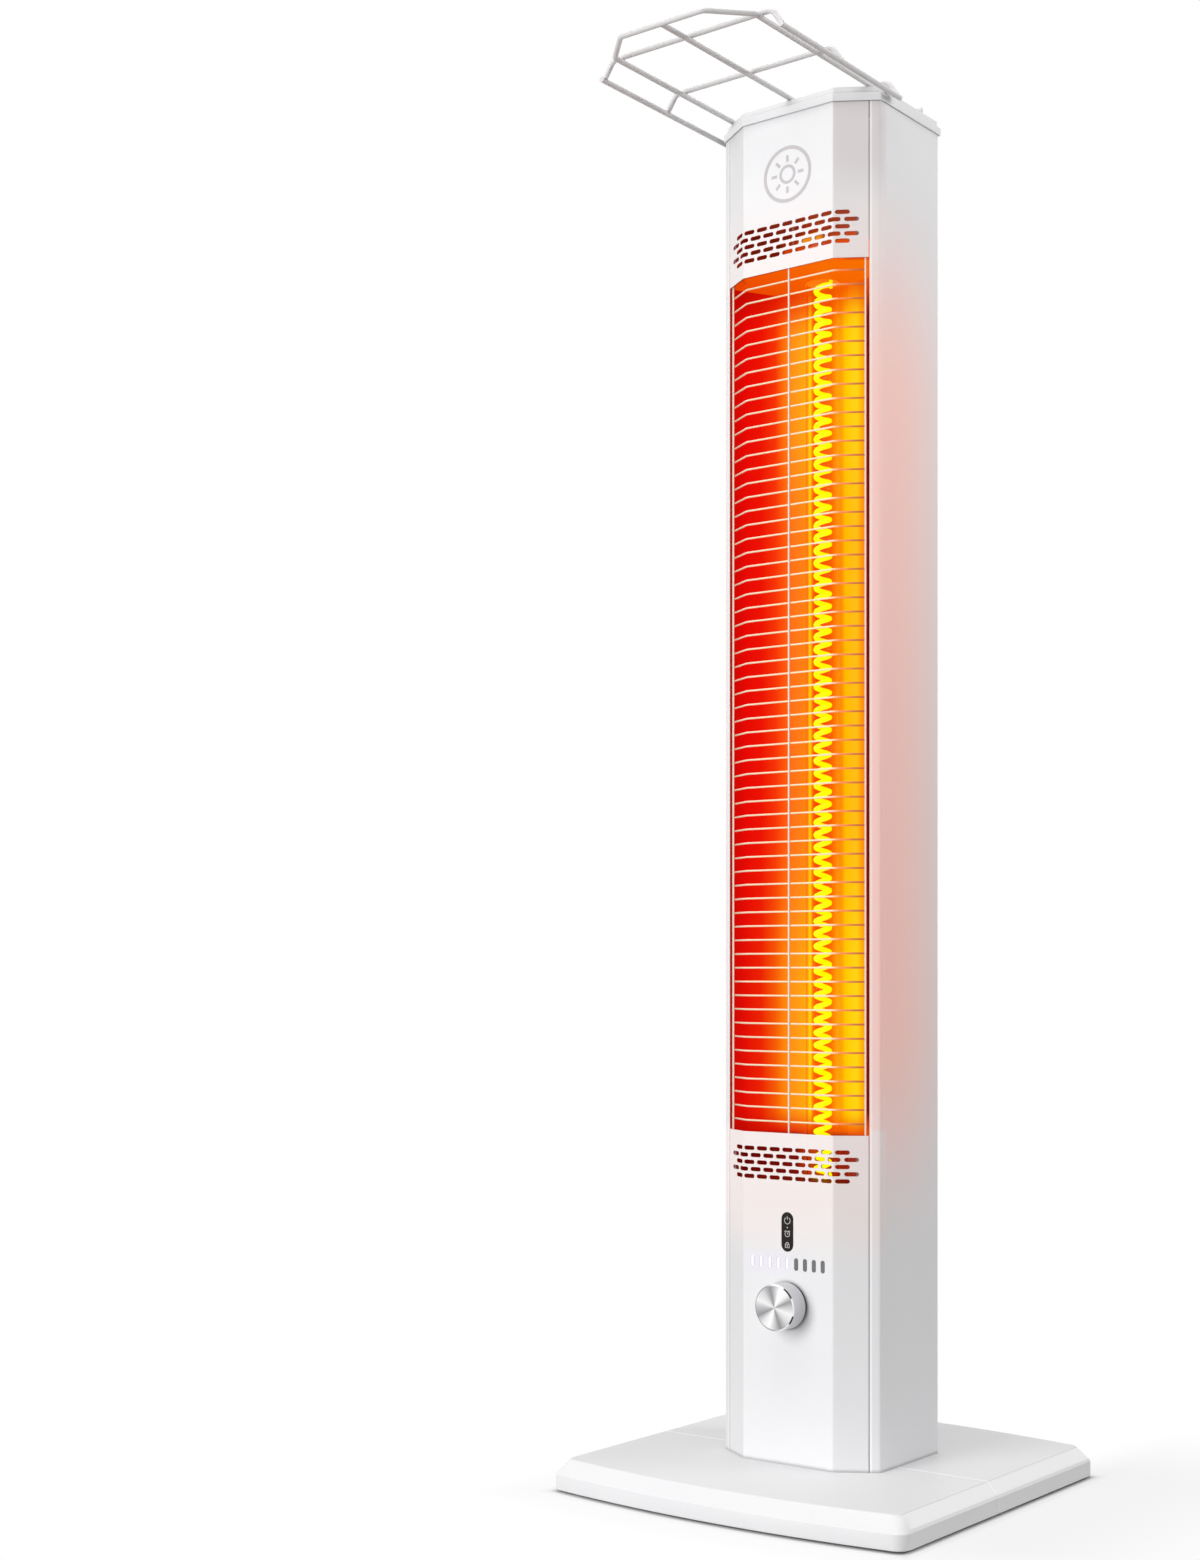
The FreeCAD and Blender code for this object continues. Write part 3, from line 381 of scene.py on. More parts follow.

# %% [markdown]
# ## White paint on the tower
# The sheet-metal tower is powder coated white. The coil's glow on it is painted: beside the window the
# coating is tinted warm and gives off a little light, and the front panels just over and under it are tinted
# warm too.
# The left chamfer and the top of the right one get painted shade, a little greyer, and the lit bars a painted
# halo. Each of these is a mask that mixes one shade into the paint, which is easier to adjust than more
# lamps.
# The narrow lips beside the seams get a painted highlight, and the seams stay grey.


# %% White paint
def beside_window(tree, y, z):
    """Where the coil's glow is painted on the tower's sides."""
    level = band(tree, z, window_low, window_high, -90, 90, -110, 70)
    near = band(tree, y, 0, 0, -65, -25, -15, 85)
    off_back = falls(tree, y, tower_high[1], -3, -0.5)
    return multiply(tree, level, near, off_back)


def shaded_front(tree, paint, x, y, z):
    """Painted shade on the chamfers, painted glow on the panels near the window, and the painted halo of the
    lit bars.
    """
    in_front = falls(tree, y, tower_front, 20, 28)
    left_fold = falls(tree, x, -fold_x, -0.4, 0.4)
    right_fold = rises(tree, x, fold_x, -0.4, 0.4)
    near_cap = rises(tree, z, window_high, 20, 60)
    under = band(tree, z, window_low, window_low, -90, -40, 9, 14)
    over = band(tree, z, window_high, window_high, -14, -9, 10, 55)
    lit_low, lit_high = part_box("level_lenses_lit")
    halo_x = band(tree, x, lit_low[0], lit_high[0], -7, 0, -4, 3)
    halo_z = band(tree, z, lit_low[2], lit_high[2], -7, 2, -2, 7)
    shades = ((left_fold, screen(228, 227, 228)),
              (multiply(tree, right_fold, near_cap), screen(230, 224, 224)),
              (worked(tree, "ADD", under, multiply(tree, over, 0.5)), screen(243, 234, 232)),
              (multiply(tree, halo_x, halo_z), screen(239, 236, 244)))
    for mask, shade in shades:
        paint = mixed(tree, multiply(tree, mask, in_front), paint, shade)
    return paint


def seen_inside(tree, x, y, z, aside):
    """What lies behind the skin at the window's height, apart from the shut seams over and under it."""
    behind = rises(tree, skin_depth(tree, x, y), 0, 0.2, 0.5)
    heated = band(tree, z, window_low, window_high, -80, -40, 40, 80)
    seam = band(tree, aside, seam_x, seam_x, -1.2, -0.9, 0.9, 1.2)
    opening = band(tree, z, window_low, window_high, -5, -3, -1, 1)
    shut = multiply(tree, seam, inverse(tree, opening))
    return multiply(tree, behind, heated, inverse(tree, shut))


def white_paint():
    material = grained("white_paint", screen(241, 241, 242), screen(237, 237, 239), (0.36, 0.46), scale=1100)
    tree, shader = parts_of(material)
    x, y, z = split_place(tree)
    aside = worked(tree, "ABSOLUTE", x)
    inside = seen_inside(tree, x, y, z, aside)
    warm = beside_window(tree, y, z)
    # Painted glow of the coil: the sides beside the window are tinted warm.
    warmed = mixed(tree, warm, paint_of(shader), screen(249, 208, 200))
    tinted = shaded_front(tree, warmed, x, y, z)
    # Faces behind the skin are painted a dark red ground under their painted light.
    tree.links.new(mixed(tree, inside, tinted, screen(46, 10, 6)), shader.inputs["Base Color"])
    # Painted light: the warm sides give off a little light of their own.
    lit_side = mixed(tree, warm, neutral(0), screen(92, 50, 40))
    # Painted highlight: a narrow lip beside each seam gives off a little light.
    lip = band(tree, aside, seam_x, seam_x, 0.3, 0.6, 1.7, 2.2)
    lit_lip = mixed(tree, lip, lit_side, screen(104, 103, 103))
    glowing(tree, shader, mixed(tree, inside, lit_lip, light_inside(tree, x, y, z)))
    paint_crease_shade(material, 4 * MM, screen(150, 147, 147))
    return material


finishes["white_paint"] = white_paint()
print("white paint with", len(finishes["white_paint"].node_tree.nodes), "nodes")

# %% [markdown]
# ## The base and its seam
# The base is moulded in two halves. Their rounded edges catch the light, and the seam's fine pale line is
# also a painted highlight that gives off a little light. Its flat top is painted a little darker, and its
# right sloping edge brighter, with a painted highlight. Three materials on picked faces would do. One
# material with masks on height and place keeps the base a single piece.

# %% Shell of the base
base_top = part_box("base_front")[1][2]


def seamed_shell():
    material = shell("base_shell", 4 * MM, shell_shade)
    tree, shader = parts_of(material)
    x, y, z = split_place(tree)
    front_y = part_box("base_front")[0][1]
    seam_y = (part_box("base_front")[1][1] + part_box("base_rear")[0][1]) / 2
    seam = band(tree, y, seam_y, seam_y, -0.9, -0.4, 0.4, 0.9)
    flat_top = rises(tree, z, base_top, -0.6, -0.3)
    slope_z = band(tree, z, base_top, base_top, -8.7, -8.2, -0.6, -0.2)
    slope_x = rises(tree, x, 0, 132.4, 133.4)
    slope_y = rises(tree, y, front_y, 16, 30)
    right_slope = multiply(tree, slope_z, slope_x, slope_y)
    # Painted highlight: the seam gives off a little light, more on the flat top.
    seam_light = mixed(tree, flat_top, neutral(118), neutral(140))
    # Painted highlight on the right slope: a little light of its own.
    slope_light = mixed(tree, right_slope, neutral(0), neutral(80))
    glowing(tree, shader, mixed(tree, seam, slope_light, seam_light))
    # Painted highlight on the right slope: a brighter colour.
    painted_highlight = mixed(tree, right_slope, paint_of(shader), neutral(250))
    # The flat top is painted a little darker.
    darker_top = mixed(tree, multiply(tree, flat_top, 0.7), painted_highlight, screen(228, 228, 229))
    tree.links.new(darker_top, shader.inputs["Base Color"])
    print("seam at", round(seam_y / MM, 1), "mm")
    return material


base_shell = seamed_shell()

# %% [markdown]
# ## Glowing trough
# The reflector is a folded metal trough with a channel for the tube. The coil lights it: deep red on the
# side walls, orange on the flats, and bright yellow where the channel's slope catches the coil. Real light
# bouncing in the trough would be noisy, so the glow is a ramp across it. One set of colours serves its
# middle and two warmer ones its upper and lower parts, and both ends turn darker.


# %% Reflector
def dull(shader, colour, roughness, specular):
    """The dark ground under a glow."""
    shader.inputs["Base Color"].default_value = colour
    shader.inputs["Roughness"].default_value = roughness
    shader.inputs["Specular IOR Level"].default_value = specular


def glowing_trough():
    material, tree, shader = new_material("glowing_trough")
    x, y, z = split_place(tree)
    place = tree.nodes.new("ShaderNodeTexCoord")
    drift = add_node(tree, "ShaderNodeTexNoise", scale=5.0, detail=1.0)
    tree.links.new(place.outputs["Object"], drift.inputs["Vector"])
    wander = worked(tree, "ADD", multiply(tree, drift.outputs[0], 0.5 * MM), x)
    left = [(-57, (196, 0, 0)), (-52, (230, 0, 0)), (-46, (236, 12, 0)), (-40, (246, 50, 0))]
    left_low = [(-57, (200, 0, 0)), (-52, (226, 6, 0)), (-46, (236, 32, 0)), (-40, (245, 92, 0)),
                (-35, (253, 134, 0))]
    middle = [(-35, (255, 84, 0)), (-29, (255, 112, 0)), (-18.1, (255, 130, 0)), (-17.8, (255, 200, 0)),
              (-15.9, (255, 194, 0)), (-15.2, (255, 120, 0)), (-14, (248, 80, 0)), (-12, (242, 60, 0)),
              (-0.5, (250, 92, 0)), (3, (255, 124, 0)), (8, (255, 142, 0)), (10.5, (255, 184, 0)),
              (24, (255, 188, 0)), (28, (255, 148, 0)), (31.4, (255, 134, 0))]
    warmer = [(-35, (255, 116, 0)), (-29, (255, 146, 0)), (-18.1, (255, 168, 0)), (-17.8, (255, 212, 0)),
              (-15.9, (255, 206, 0)), (-15.2, (255, 140, 0)), (-14, (252, 96, 0)), (-12, (246, 78, 0)),
              (-0.5, (252, 112, 0)), (3, (255, 150, 0)), (8, (255, 166, 0)), (10.5, (255, 198, 0)),
              (24, (255, 212, 0)), (28, (255, 178, 0)), (31.4, (255, 156, 0))]
    # The narrow dark band at the right fold is painted shade within the glow.
    right = [(32.6, (176, 26, 0)), (33.4, (92, 0, 0)), (35.6, (104, 0, 0)), (38, (200, 8, 0)),
             (57, (186, 4, 0))]
    at_ends = [(-57, (180, 0, 0)), (-40, (222, 20, 0)), (-20, (236, 70, 0)), (20, (244, 96, 0)),
               (57, (190, 10, 0))]
    below = [(-57, (92, 4, 4)), (-26, (118, 10, 4)), (-19, (176, 52, 4)), (-12, (190, 70, 4)),
             (0, (160, 40, 6)), (8, (140, 26, 8)), (40, (150, 60, 40))]
    upper_part = band(tree, z, window_high, window_high, -200, -80, -50, -10)
    lower_part = band(tree, z, window_low, window_low, -44.4, -4.4, 95.6, 235.6)
    off_ends = band(tree, z, window_low, window_high, 4.6, 23.6, -38, -4)
    in_window = rises(tree, z, window_low, 1.6, 7.1)
    glow = mixed(tree, upper_part, across(tree, wander, left + middle + right),
                 across(tree, wander, left + warmer + right))
    glow = mixed(tree, lower_part, glow, across(tree, wander, left_low + warmer[1:] + right))
    glow = mixed(tree, off_ends, across(tree, x, at_ends), glow)
    glowing(tree, shader, mixed(tree, in_window, across(tree, x, below), glow))
    dull(shader, screen(30, 8, 3), 0.5, 0.05)
    return material


finishes["reflector_metal"] = glowing_trough()
print("reflector glows from", round(window_low / MM), "to", round(window_high / MM), "mm")

# %% [markdown]
# ## End plates and tube cap
# Two folded plates close the trough at its ends. The upper one is lit from below, which is painted as an
# orange glow all over, and the lower one lies in the dark, with a dim red painted glow. The ceramic cap on
# the tube's
# upper end gets painted light too: orange next to the plate, darker away from it. Both glows are plain ramps,
# because flat pieces like these show no more of the coil than that.


# %% End plates and tube cap
def glowing_plate():
    material, tree, shader = new_material("glowing_plate")
    x, y, z = split_place(tree)
    lit = ramp(tree, [(0.0, screen(226, 66, 0)), (0.45, screen(240, 92, 0)), (1.0, screen(244, 112, 0))],
               scaled(tree, x, -60 * MM, 60 * MM))
    middle_z = (window_low + window_high) / 2
    upper = rises(tree, z, middle_z, -50, 50)
    # Painted light: orange on the upper plate, dim red on the lower one.
    glowing(tree, shader, mixed(tree, upper, screen(104, 10, 2), lit))
    dull(shader, screen(40, 14, 5), 0.5, 0.05)
    return material


def glowing_ceramic():
    """Ceramic with painted light: orange where it stands on the lit end plate, darker away from it."""
    material = grained("glowing_ceramic", screen(200, 150, 110), screen(180, 130, 95), (0.5, 0.65))
    tree, shader = parts_of(material)
    x, y, z = split_place(tree)
    low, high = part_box("upper_tube_cap")
    glow_ramp = ramp(tree, [(0.0, screen(244, 108, 0)), (0.5, screen(236, 92, 0)), (1.0, screen(150, 40, 4))],
                scaled(tree, z, low[2], high[2]))
    glowing(tree, shader, glow_ramp, 0.9)
    return material


plate_glow = glowing_plate()
cap_glow = glowing_ceramic()
print("glow on both end plates and the upper tube cap")

# %% [markdown]
# ## Lenses and glass
# The display is smoked plastic, the lit level bars shine white with a lilac edge, and the quartz tube is
# clear glass. Each bar could have a material of its own. A distance that repeats at the bars' pitch serves
# them all in one.


# %% Lenses and glass
def lit_lens():
    """White light that turns lilac towards the edge of each bar."""
    material, tree, shader = new_material("lit_lens")
    x, y, z = split_place(tree)
    low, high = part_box("level_lenses_lit")
    bar_width, bar_pitch = 3.3 * MM, 7.18 * MM
    middle_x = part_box("level_lenses_unlit")[0][0] + bar_width / 2 - bar_pitch
    from_left = worked(tree, "SUBTRACT", x, middle_x - 10 * bar_pitch)
    aside = worked(tree, "PINGPONG", from_left, bar_pitch / 2)
    flat = falls(tree, aside, 0, 1.45, 1.7)
    upright = band(tree, z, low[2], high[2], 0, 0.9, -0.9, 0)
    glowing(tree, shader, mixed(tree, multiply(tree, flat, upright), screen(224, 216, 242), neutral(255)))
    dull(shader, screen(20, 18, 24), 0.3, 0.1)
    return material


def quartz_glass():
    material, tree, shader = new_material("quartz")
    mask = grain_of(tree, 60.0).outputs["Mask"]
    tree.links.new(scaled(tree, mask, 0.0, 1.0, 0.0, 0.05), shader.inputs["Roughness"])
    shader.inputs["Base Color"].default_value = neutral(255)
    shader.inputs["Transmission Weight"].default_value = 1.0
    shader.inputs["IOR"].default_value = 1.06
    return material


def smoked_plastic():
    material = grained("dark_lens", screen(36, 31, 30), screen(30, 26, 25), (0.18, 0.26), bump=0.0)
    shader = parts_of(material)[1]
    shader.inputs["Specular IOR Level"].default_value = 0.15
    return material


finishes["lit_lens"] = lit_lens()
finishes["quartz"] = quartz_glass()
finishes["dark_lens"] = smoked_plastic()
bar_unlit = grained("bar_unlit", screen(112, 112, 116), screen(98, 98, 102), (0.35, 0.5))
print("finishes", len(finishes))

# %% [markdown]
# ## Turned metal on the knob
# The knob is turned aluminium: the lathe leaves rings so fine that light fans out from the centre.
# Anisotropic shading could do it, but it needs tangents that the solids lack. A radial gradient round the
# knob's axis paints the fan of highlights into the colour instead, with a ripple of rings in the bump. The
# polished bevel has a painted fan of its own, with bright highlights and dark painted reflections.

# %% Knob metal
knob_low, knob_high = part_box("knob_face")
knob_z = (knob_low[2] + knob_high[2]) / 2


def knob_place(tree):
    """A point's place in front of the knob, flat and from its axis."""
    x, y, z = split_place(tree)
    flat = tree.nodes.new("ShaderNodeCombineXYZ")
    centre = add_node(tree, "ShaderNodeMapping")
    centre.inputs["Location"].default_value = (0.0, -knob_z, 0.0)
    tree.links.new(x, flat.inputs["X"])
    tree.links.new(z, flat.inputs["Y"])
    tree.links.new(flat.outputs[0], centre.inputs["Vector"])
    return centre.outputs[0]


def fan_of(tree, place, stops):
    """Shades that fan out round the knob's axis."""
    fan = add_node(tree, "ShaderNodeTexGradient", gradient_type="RADIAL")
    tree.links.new(place, fan.inputs["Vector"])
    return ramp(tree, stops, fan.outputs["Fac"])


def turned_metal():
    material, tree, shader = new_material("knob_metal")
    painted_highlight, pale = neutral(217), screen(196, 196, 197)
    grey, dark = screen(174, 174, 175), screen(130, 130, 132)
    place = knob_place(tree)
    # Painted highlights: bright and dark sectors of the fan stand for light on the turned rings.
    shades = fan_of(tree, place, [
        (0.0, grey), (0.07, dark), (0.135, pale), (0.2, painted_highlight), (0.26, grey), (0.305, dark), (0.385, pale),
        (0.458, painted_highlight), (0.52, grey), (0.565, dark), (0.62, pale), (0.69, painted_highlight), (0.74, grey),
        (0.79, dark), (0.87, pale), (0.945, painted_highlight), (1.0, grey)])
    rings = add_node(tree, "ShaderNodeTexWave", wave_type="RINGS", rings_direction="SPHERICAL", scale=700.0)
    tree.links.new(place, rings.inputs["Vector"])
    relief = add_node(tree, "ShaderNodeBump", strength=0.08, distance=0.2 * MM)
    tree.links.new(rings.outputs["Fac"], relief.inputs["Height"])
    tree.links.new(shades, shader.inputs["Base Color"])
    tree.links.new(relief.outputs["Normal"], shader.inputs["Normal"])
    shader.inputs["Metallic"].default_value = 1.0
    shader.inputs["Roughness"].default_value = 0.28
    return material


def knob_side_metal():
    """Fine matt side, and a polished bevel with a painted fan of highlights and dark reflections."""
    material = grained("knob_side", screen(226, 225, 229), screen(214, 213, 217), (0.4, 0.5), 0.25, scale=900)
    tree, shader = parts_of(material)
    painted_highlight, grey, dark = neutral(250), screen(150, 150, 152), screen(36, 36, 38)
    # Painted reflections on the bevel: bright sectors and dark arcs.
    bevel_reflections = fan_of(tree, knob_place(tree), [
        (0.0, grey), (0.24, grey), (0.3, painted_highlight), (0.385, painted_highlight), (0.393, dark), (0.45, dark),
        (0.458, painted_highlight), (0.575, painted_highlight), (0.585, dark), (0.665, dark), (0.675, painted_highlight), (0.76, painted_highlight),
        (0.82, grey), (1.0, grey)])
    x, y, z = split_place(tree)
    bevel = falls(tree, y, knob_low[1], 0.62, 0.7)
    tree.links.new(mixed(tree, bevel, paint_of(shader), bevel_reflections), shader.inputs["Base Color"])
    return material


finishes["knob_metal"] = turned_metal()
knob_side = knob_side_metal()
print("knob axis at", round(knob_z / MM, 1), "mm")

# %% [markdown]
# ## Glowing strand and lit wires
# The hot strand is brightest at the front, where nothing shades it, and deeper yellow at the back. A ramp on
# the depth gives that, and it also shows the winding from the side. The guard's level wires are white, and
# light from behind tints them: cream in front of the coil, and salmon to brown on the right chamfer. That
# light is painted, as a tint and a little light of the wires' own, and the uprights get a warm painted glow.
# Colours on the place are steadier here than real light on wires as thin as these.

# %% Strand and wire finishes
coil_low, coil_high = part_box("heating_coil")


def hot_strand():
    material, tree, shader = new_material("glowing_coil")
    x, y, z = split_place(tree)
    glow_ramp = ramp(tree, [(0.0, screen(255, 255, 30)), (0.4, screen(255, 250, 0)), (0.7, screen(255, 240, 0)),
                       (1.0, screen(255, 222, 0))], scaled(tree, y, coil_low[1], coil_high[1]))
    glowing(tree, shader, glow_ramp)
    dull(shader, screen(120, 70, 0), 0.7, 0.0)
    return material


def warm_wire():
    material = grained("warm_wire", screen(240, 226, 198), screen(232, 218, 190), (0.35, 0.45))
    tree, shader = parts_of(material)
    x, y, z = split_place(tree)
    # Painted light from behind: salmon on the right chamfer, and a little warm light of the wires' own.
    right_chamfer = rises(tree, x, 0, 34, 40)
    salmon = mixed(tree, right_chamfer, paint_of(shader), screen(186, 116, 84))
    tree.links.new(salmon, shader.inputs["Base Color"])
    glowing(tree, shader, across(tree, x, [
        (-57, (60, 18, 14)), (-38, (72, 34, 26)), (-20, (98, 74, 22)), (18, (112, 90, 12)),
        (35, (150, 86, 30)), (41, (196, 104, 52)), (47, (160, 80, 30)), (56, (140, 62, 22))]))
    return material


def warm_upright():
    material = grained("warm_upright", screen(246, 234, 222), screen(238, 226, 214), (0.35, 0.45))
    tree, shader = parts_of(material)
    # Painted light: the uprights give off a little warm light, as the coil's glow on them.
    glowing(tree, shader, screen(72, 54, 40))
    return material


finishes["glowing_coil"] = hot_strand()
wire_glow = warm_wire()
upright_glow = warm_upright()
print("strand, wires and uprights")

# %% [markdown]
# ## Finishes on the solids
# Every solid names its material slot in the record, and the finish with that name goes on it. A list of all
# the solids would say the same at more length. Only a few get their own finish: the end plates glow evenly,
# the dark level bars are grey, and the knob's side isn't turned like its face.

# %% Put the finishes on
slot_of = {}
for entry in frame["record"]["subparts"]:
    slot_of[entry["node"]] = entry["material_slot"]
own_finish = {name: finishes["rack_wire"] for name in nodes if name.startswith("rack_")}
own_finish |= {
    "upper_end_plate": plate_glow,
    "lower_end_plate": plate_glow,
    "upper_tube_cap": cap_glow,
    "coil_terminals": finishes["glowing_coil"],
    "guard_uprights": upright_glow,
    "level_lenses_unlit": bar_unlit,
    "knob_body": knob_side,
    "top_cap": cap_shell,
    "base_front": base_shell,
    "base_rear": base_shell,
}


def wear(obj, material):
    obj.data.materials.clear()
    obj.data.materials.append(material)


for name, obj in nodes.items():
    wear(obj, own_finish.get(name, finishes[slot_of[name]]))
print("finished solids", len(nodes))

# %% [markdown]
# ## Soft edges
# Moulded and cast shells have no knife edges: the tool's corners leave a small round that catches the light.
# Cutting it into the solids would make them heavy. A bevel modifier rounds every edge that is sharper than
# an angle, after a weld has joined the solid's triangles.


# %% Soften the shells
def soften(name, width):
    weld = nodes[name].modifiers.new("joined", "WELD")
    weld.merge_threshold = 0.01 * MM
    bevel = nodes[name].modifiers.new("soft_edge", "BEVEL")
    bevel.width = width
    bevel.segments = 2
    bevel.limit_method = "ANGLE"
    bevel.angle_limit = math.radians(25)


for name, width in (("base_front", 0.9 * MM), ("base_rear", 0.9 * MM), ("top_cap", 0.5 * MM)):
    soften(name, width)
    print("softened", name, "by", width / MM, "mm")

# %% [markdown]
# ## From bmesh to piece
# New pieces are shaped in a bmesh, with their place in the mesh, and then become an object that rides on a
# body. Every piece needs the same last steps: merge doubles, turn the faces outwards, put on a finish and say
# which solids it stands for. One function does them in the same order each time.


# %% Helper that turns a bmesh into a piece
def piece(name, bm, material, body, stands_for=(), smooth=True):
    bmesh.ops.remove_doubles(bm, verts=bm.verts, dist=1e-7)
    bmesh.ops.recalc_face_normals(bm, faces=bm.faces)
    mesh = bpy.data.meshes.new(name)
    bm.to_mesh(mesh)
    bm.free()
    for face in mesh.polygons:
        face.use_smooth = smooth
    obj = bpy.data.objects.new(name, mesh)
    bpy.context.scene.collection.objects.link(obj)
    wear(obj, material)
    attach(obj, body)
    if stands_for:
        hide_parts(*stands_for)
    print(name, "faces", len(mesh.polygons))
    return obj


def edges_of(geom):
    return [g for g in geom if isinstance(g, bmesh.types.BMEdge)]


def verts_of(geom):
    return [g for g in geom if isinstance(g, bmesh.types.BMVert)]


def close_ends(bm, sides):
    """Fill the open ends of a wire."""
    bmesh.ops.holes_fill(bm, edges=[e for e in bm.edges if len(e.link_faces) == 1], sides=sides)


# %% [markdown]
# ## The heating strand
# On the real heater one resistance wire is wound to a spring. A screw modifier could wind it, but the spin
# operator does it in one step: it turns a small ring about the coil's axis and lifts it a little at every
# step.

# %% Wind the strand
coil_y = (coil_low[1] + coil_high[1]) / 2
strand_radius = 2.0 * MM
wind_radius = (coil_high[0] - coil_low[0]) / 2 - strand_radius
coil_turns = 72
steps_per_turn = 20
strand_sides = 8
end_room = 1.5 * MM
wind_pitch = (coil_high[2] - coil_low[2] - 2 * end_room) / coil_turns
wind_start = coil_low[2] + end_room

bm = bmesh.new()
ring_start = Matrix.Translation((wind_radius, coil_y, wind_start))
ring = bmesh.ops.create_circle(bm, cap_ends=False, radius=strand_radius, segments=strand_sides,
                               matrix=ring_start @ Matrix.Rotation(math.pi / 2, 4, "X"))
bmesh.ops.spin(bm, geom=ring["verts"] + list(bm.edges), cent=(0, coil_y, 0), axis=(0, 0, 1),
               dvec=(0, 0, wind_pitch / steps_per_turn), angle=2 * math.pi * coil_turns,
               steps=coil_turns * steps_per_turn)
close_ends(bm, strand_sides)
piece("wound_strand", bm, finishes["glowing_coil"], "heater", ["heating_coil"])

# %% [markdown]
# ## Bending wire
# A wire is a ring that travels: straight runs extrude it, and bends spin it about the bend's centre. A curve
# with a round bevel would give the same shape, but here the wall stays even in the bends, and the number of
# faces is known beforehand.


# %% Helpers that bend a wire
def ring_at(bm, place, heading, radius, sides):
    """A ring of wire section at a place, square to its heading."""
    turn = heading.to_track_quat("Z", "Y").to_matrix().to_4x4()
    made = bmesh.ops.create_circle(bm, cap_ends=False, radius=radius, segments=sides,
                                   matrix=Matrix.Translation(place) @ turn)
    return list({e for v in made["verts"] for e in v.link_edges})


def run(bm, ring, step):
    """Extrude the ring along a straight step."""
    made = bmesh.ops.extrude_edge_only(bm, edges=ring)["geom"]
    moved = verts_of(made)
    bmesh.ops.translate(bm, verts=moved, vec=step)
    return [e for e in edges_of(made) if all(v in moved for v in e.verts)]


def bend(bm, ring, centre, axis, angle, steps):
    """Spin the ring round a bend."""
    around = list({v for e in ring for v in e.verts})
    made = bmesh.ops.spin(bm, geom=around + ring, cent=centre, axis=axis, angle=angle, steps=steps)
    return edges_of(made["geom_last"])


guard_radius = 0.65 * MM
guard_bend = 6.0 * MM
guard_sides = 8
bend_steps = 4
print("wire", 2 * guard_radius / MM, "mm thick, bent at", guard_bend / MM, "mm")

# %% [markdown]
# ## The guard's level wires
# Each level wire runs straight across the front and bends softly round both corners, where the uprights hold
# it. An array modifier could repeat it. One wire is made and then copied upwards in the bmesh, so that the
# guard is one finished mesh.

# %% Bend and copy the level wires
guard_low, guard_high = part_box("guard_wires")
guard_count = 61
guard_corner_x = 35.83 * MM
guard_end = Vector((-54.37 * MM, -34.37 * MM, 0))
guard_corner = Vector((-guard_corner_x, -46.4 * MM, 0))
up = Vector((0, 0, 1))

bm = bmesh.new()
heading = (guard_corner - guard_end).normalized()
lead = guard_bend * math.tan(chamfer_turn / 2)
side_run = (guard_corner - guard_end).length - lead
start = guard_end + up * (guard_low[2] + guard_radius)
ring = ring_at(bm, start, heading, guard_radius, guard_sides)
ring = run(bm, ring, heading * side_run)
here = start + heading * side_run
for straight in (2 * guard_corner_x - 2 * lead, side_run):
    centre = here + up.cross(heading) * guard_bend
    ring = bend(bm, ring, centre, up, chamfer_turn, bend_steps)
    turn = Matrix.Rotation(chamfer_turn, 3, "Z")
    here = centre + turn @ (here - centre)
    heading = turn @ heading
    ring = run(bm, ring, heading * straight)
    here = here + heading * straight
close_ends(bm, guard_sides)
guard_height = guard_high[2] - guard_low[2] - 2 * guard_radius * math.sin(math.pi / 3)
guard_step = guard_height / (guard_count - 1)
first_wire = list(bm.verts) + list(bm.edges) + list(bm.faces)
for i in range(1, guard_count):
    copy = bmesh.ops.duplicate(bm, geom=first_wire)["geom"]
    bmesh.ops.translate(bm, verts=verts_of(copy), vec=up * guard_step * i)
piece("guard_level_wires", bm, wire_glow, "heater", ["guard_wires"])

# %% [markdown]
# ## Flat marks
# Print on a panel is a thin layer of ink. An image texture would need a picture file. Here each mark is a
# thin flat shape: an edge that spins about a centre leaves a flat ring, and a grid makes a bar. Extruding the
# flat faces towards the front gives the print its thickness.

# %% Helpers for flat marks
print_depth = 0.12 * MM
full_turn = 2 * math.pi
upright_turn = Matrix.Rotation(math.pi / 2, 4, "X")


def flat_ring(bm, x, z, radius, stroke, start=0.0, sweep=full_turn, steps=32):
    """A flat ring or arc on the front, from an edge that spins about its centre."""
    ends = []
    for reach in (radius - stroke / 2, radius + stroke / 2):
        ends.append(bm.verts.new((x + reach * math.cos(start), 0, z + reach * math.sin(start))))
    edge = bm.edges.new(ends)
    bmesh.ops.spin(bm, geom=ends + [edge], cent=(x, 0, z), axis=(0, -1, 0), angle=sweep, steps=steps,
                   use_merge=sweep == full_turn)


def flat_bar(bm, x, z, width, height, lean=0.0):
    """A flat bar on the front, leaning by an angle."""
    place = Matrix.Translation((x, 0, z)) @ Matrix.Rotation(lean, 4, "Y") @ upright_turn
    bmesh.ops.create_grid(bm, x_segments=1, y_segments=1, size=0.5,
                          matrix=place @ Matrix.Diagonal((width, height, 1, 1)))


def flat_disc(bm, x, z, radius):
    bmesh.ops.create_circle(bm, cap_ends=True, radius=radius, segments=20,
                            matrix=Matrix.Translation((x, 0, z)) @ upright_turn)


def raise_marks(bm, y):
    """Give flat marks their thickness and set them on the face at this depth."""
    made = bmesh.ops.extrude_face_region(bm, geom=list(bm.faces))["geom"]
    bmesh.ops.translate(bm, verts=verts_of(made), vec=(0, -print_depth, 0))
    bmesh.ops.translate(bm, verts=bm.verts, vec=(0, y, 0))


print("marks", print_depth / MM, "mm thick")

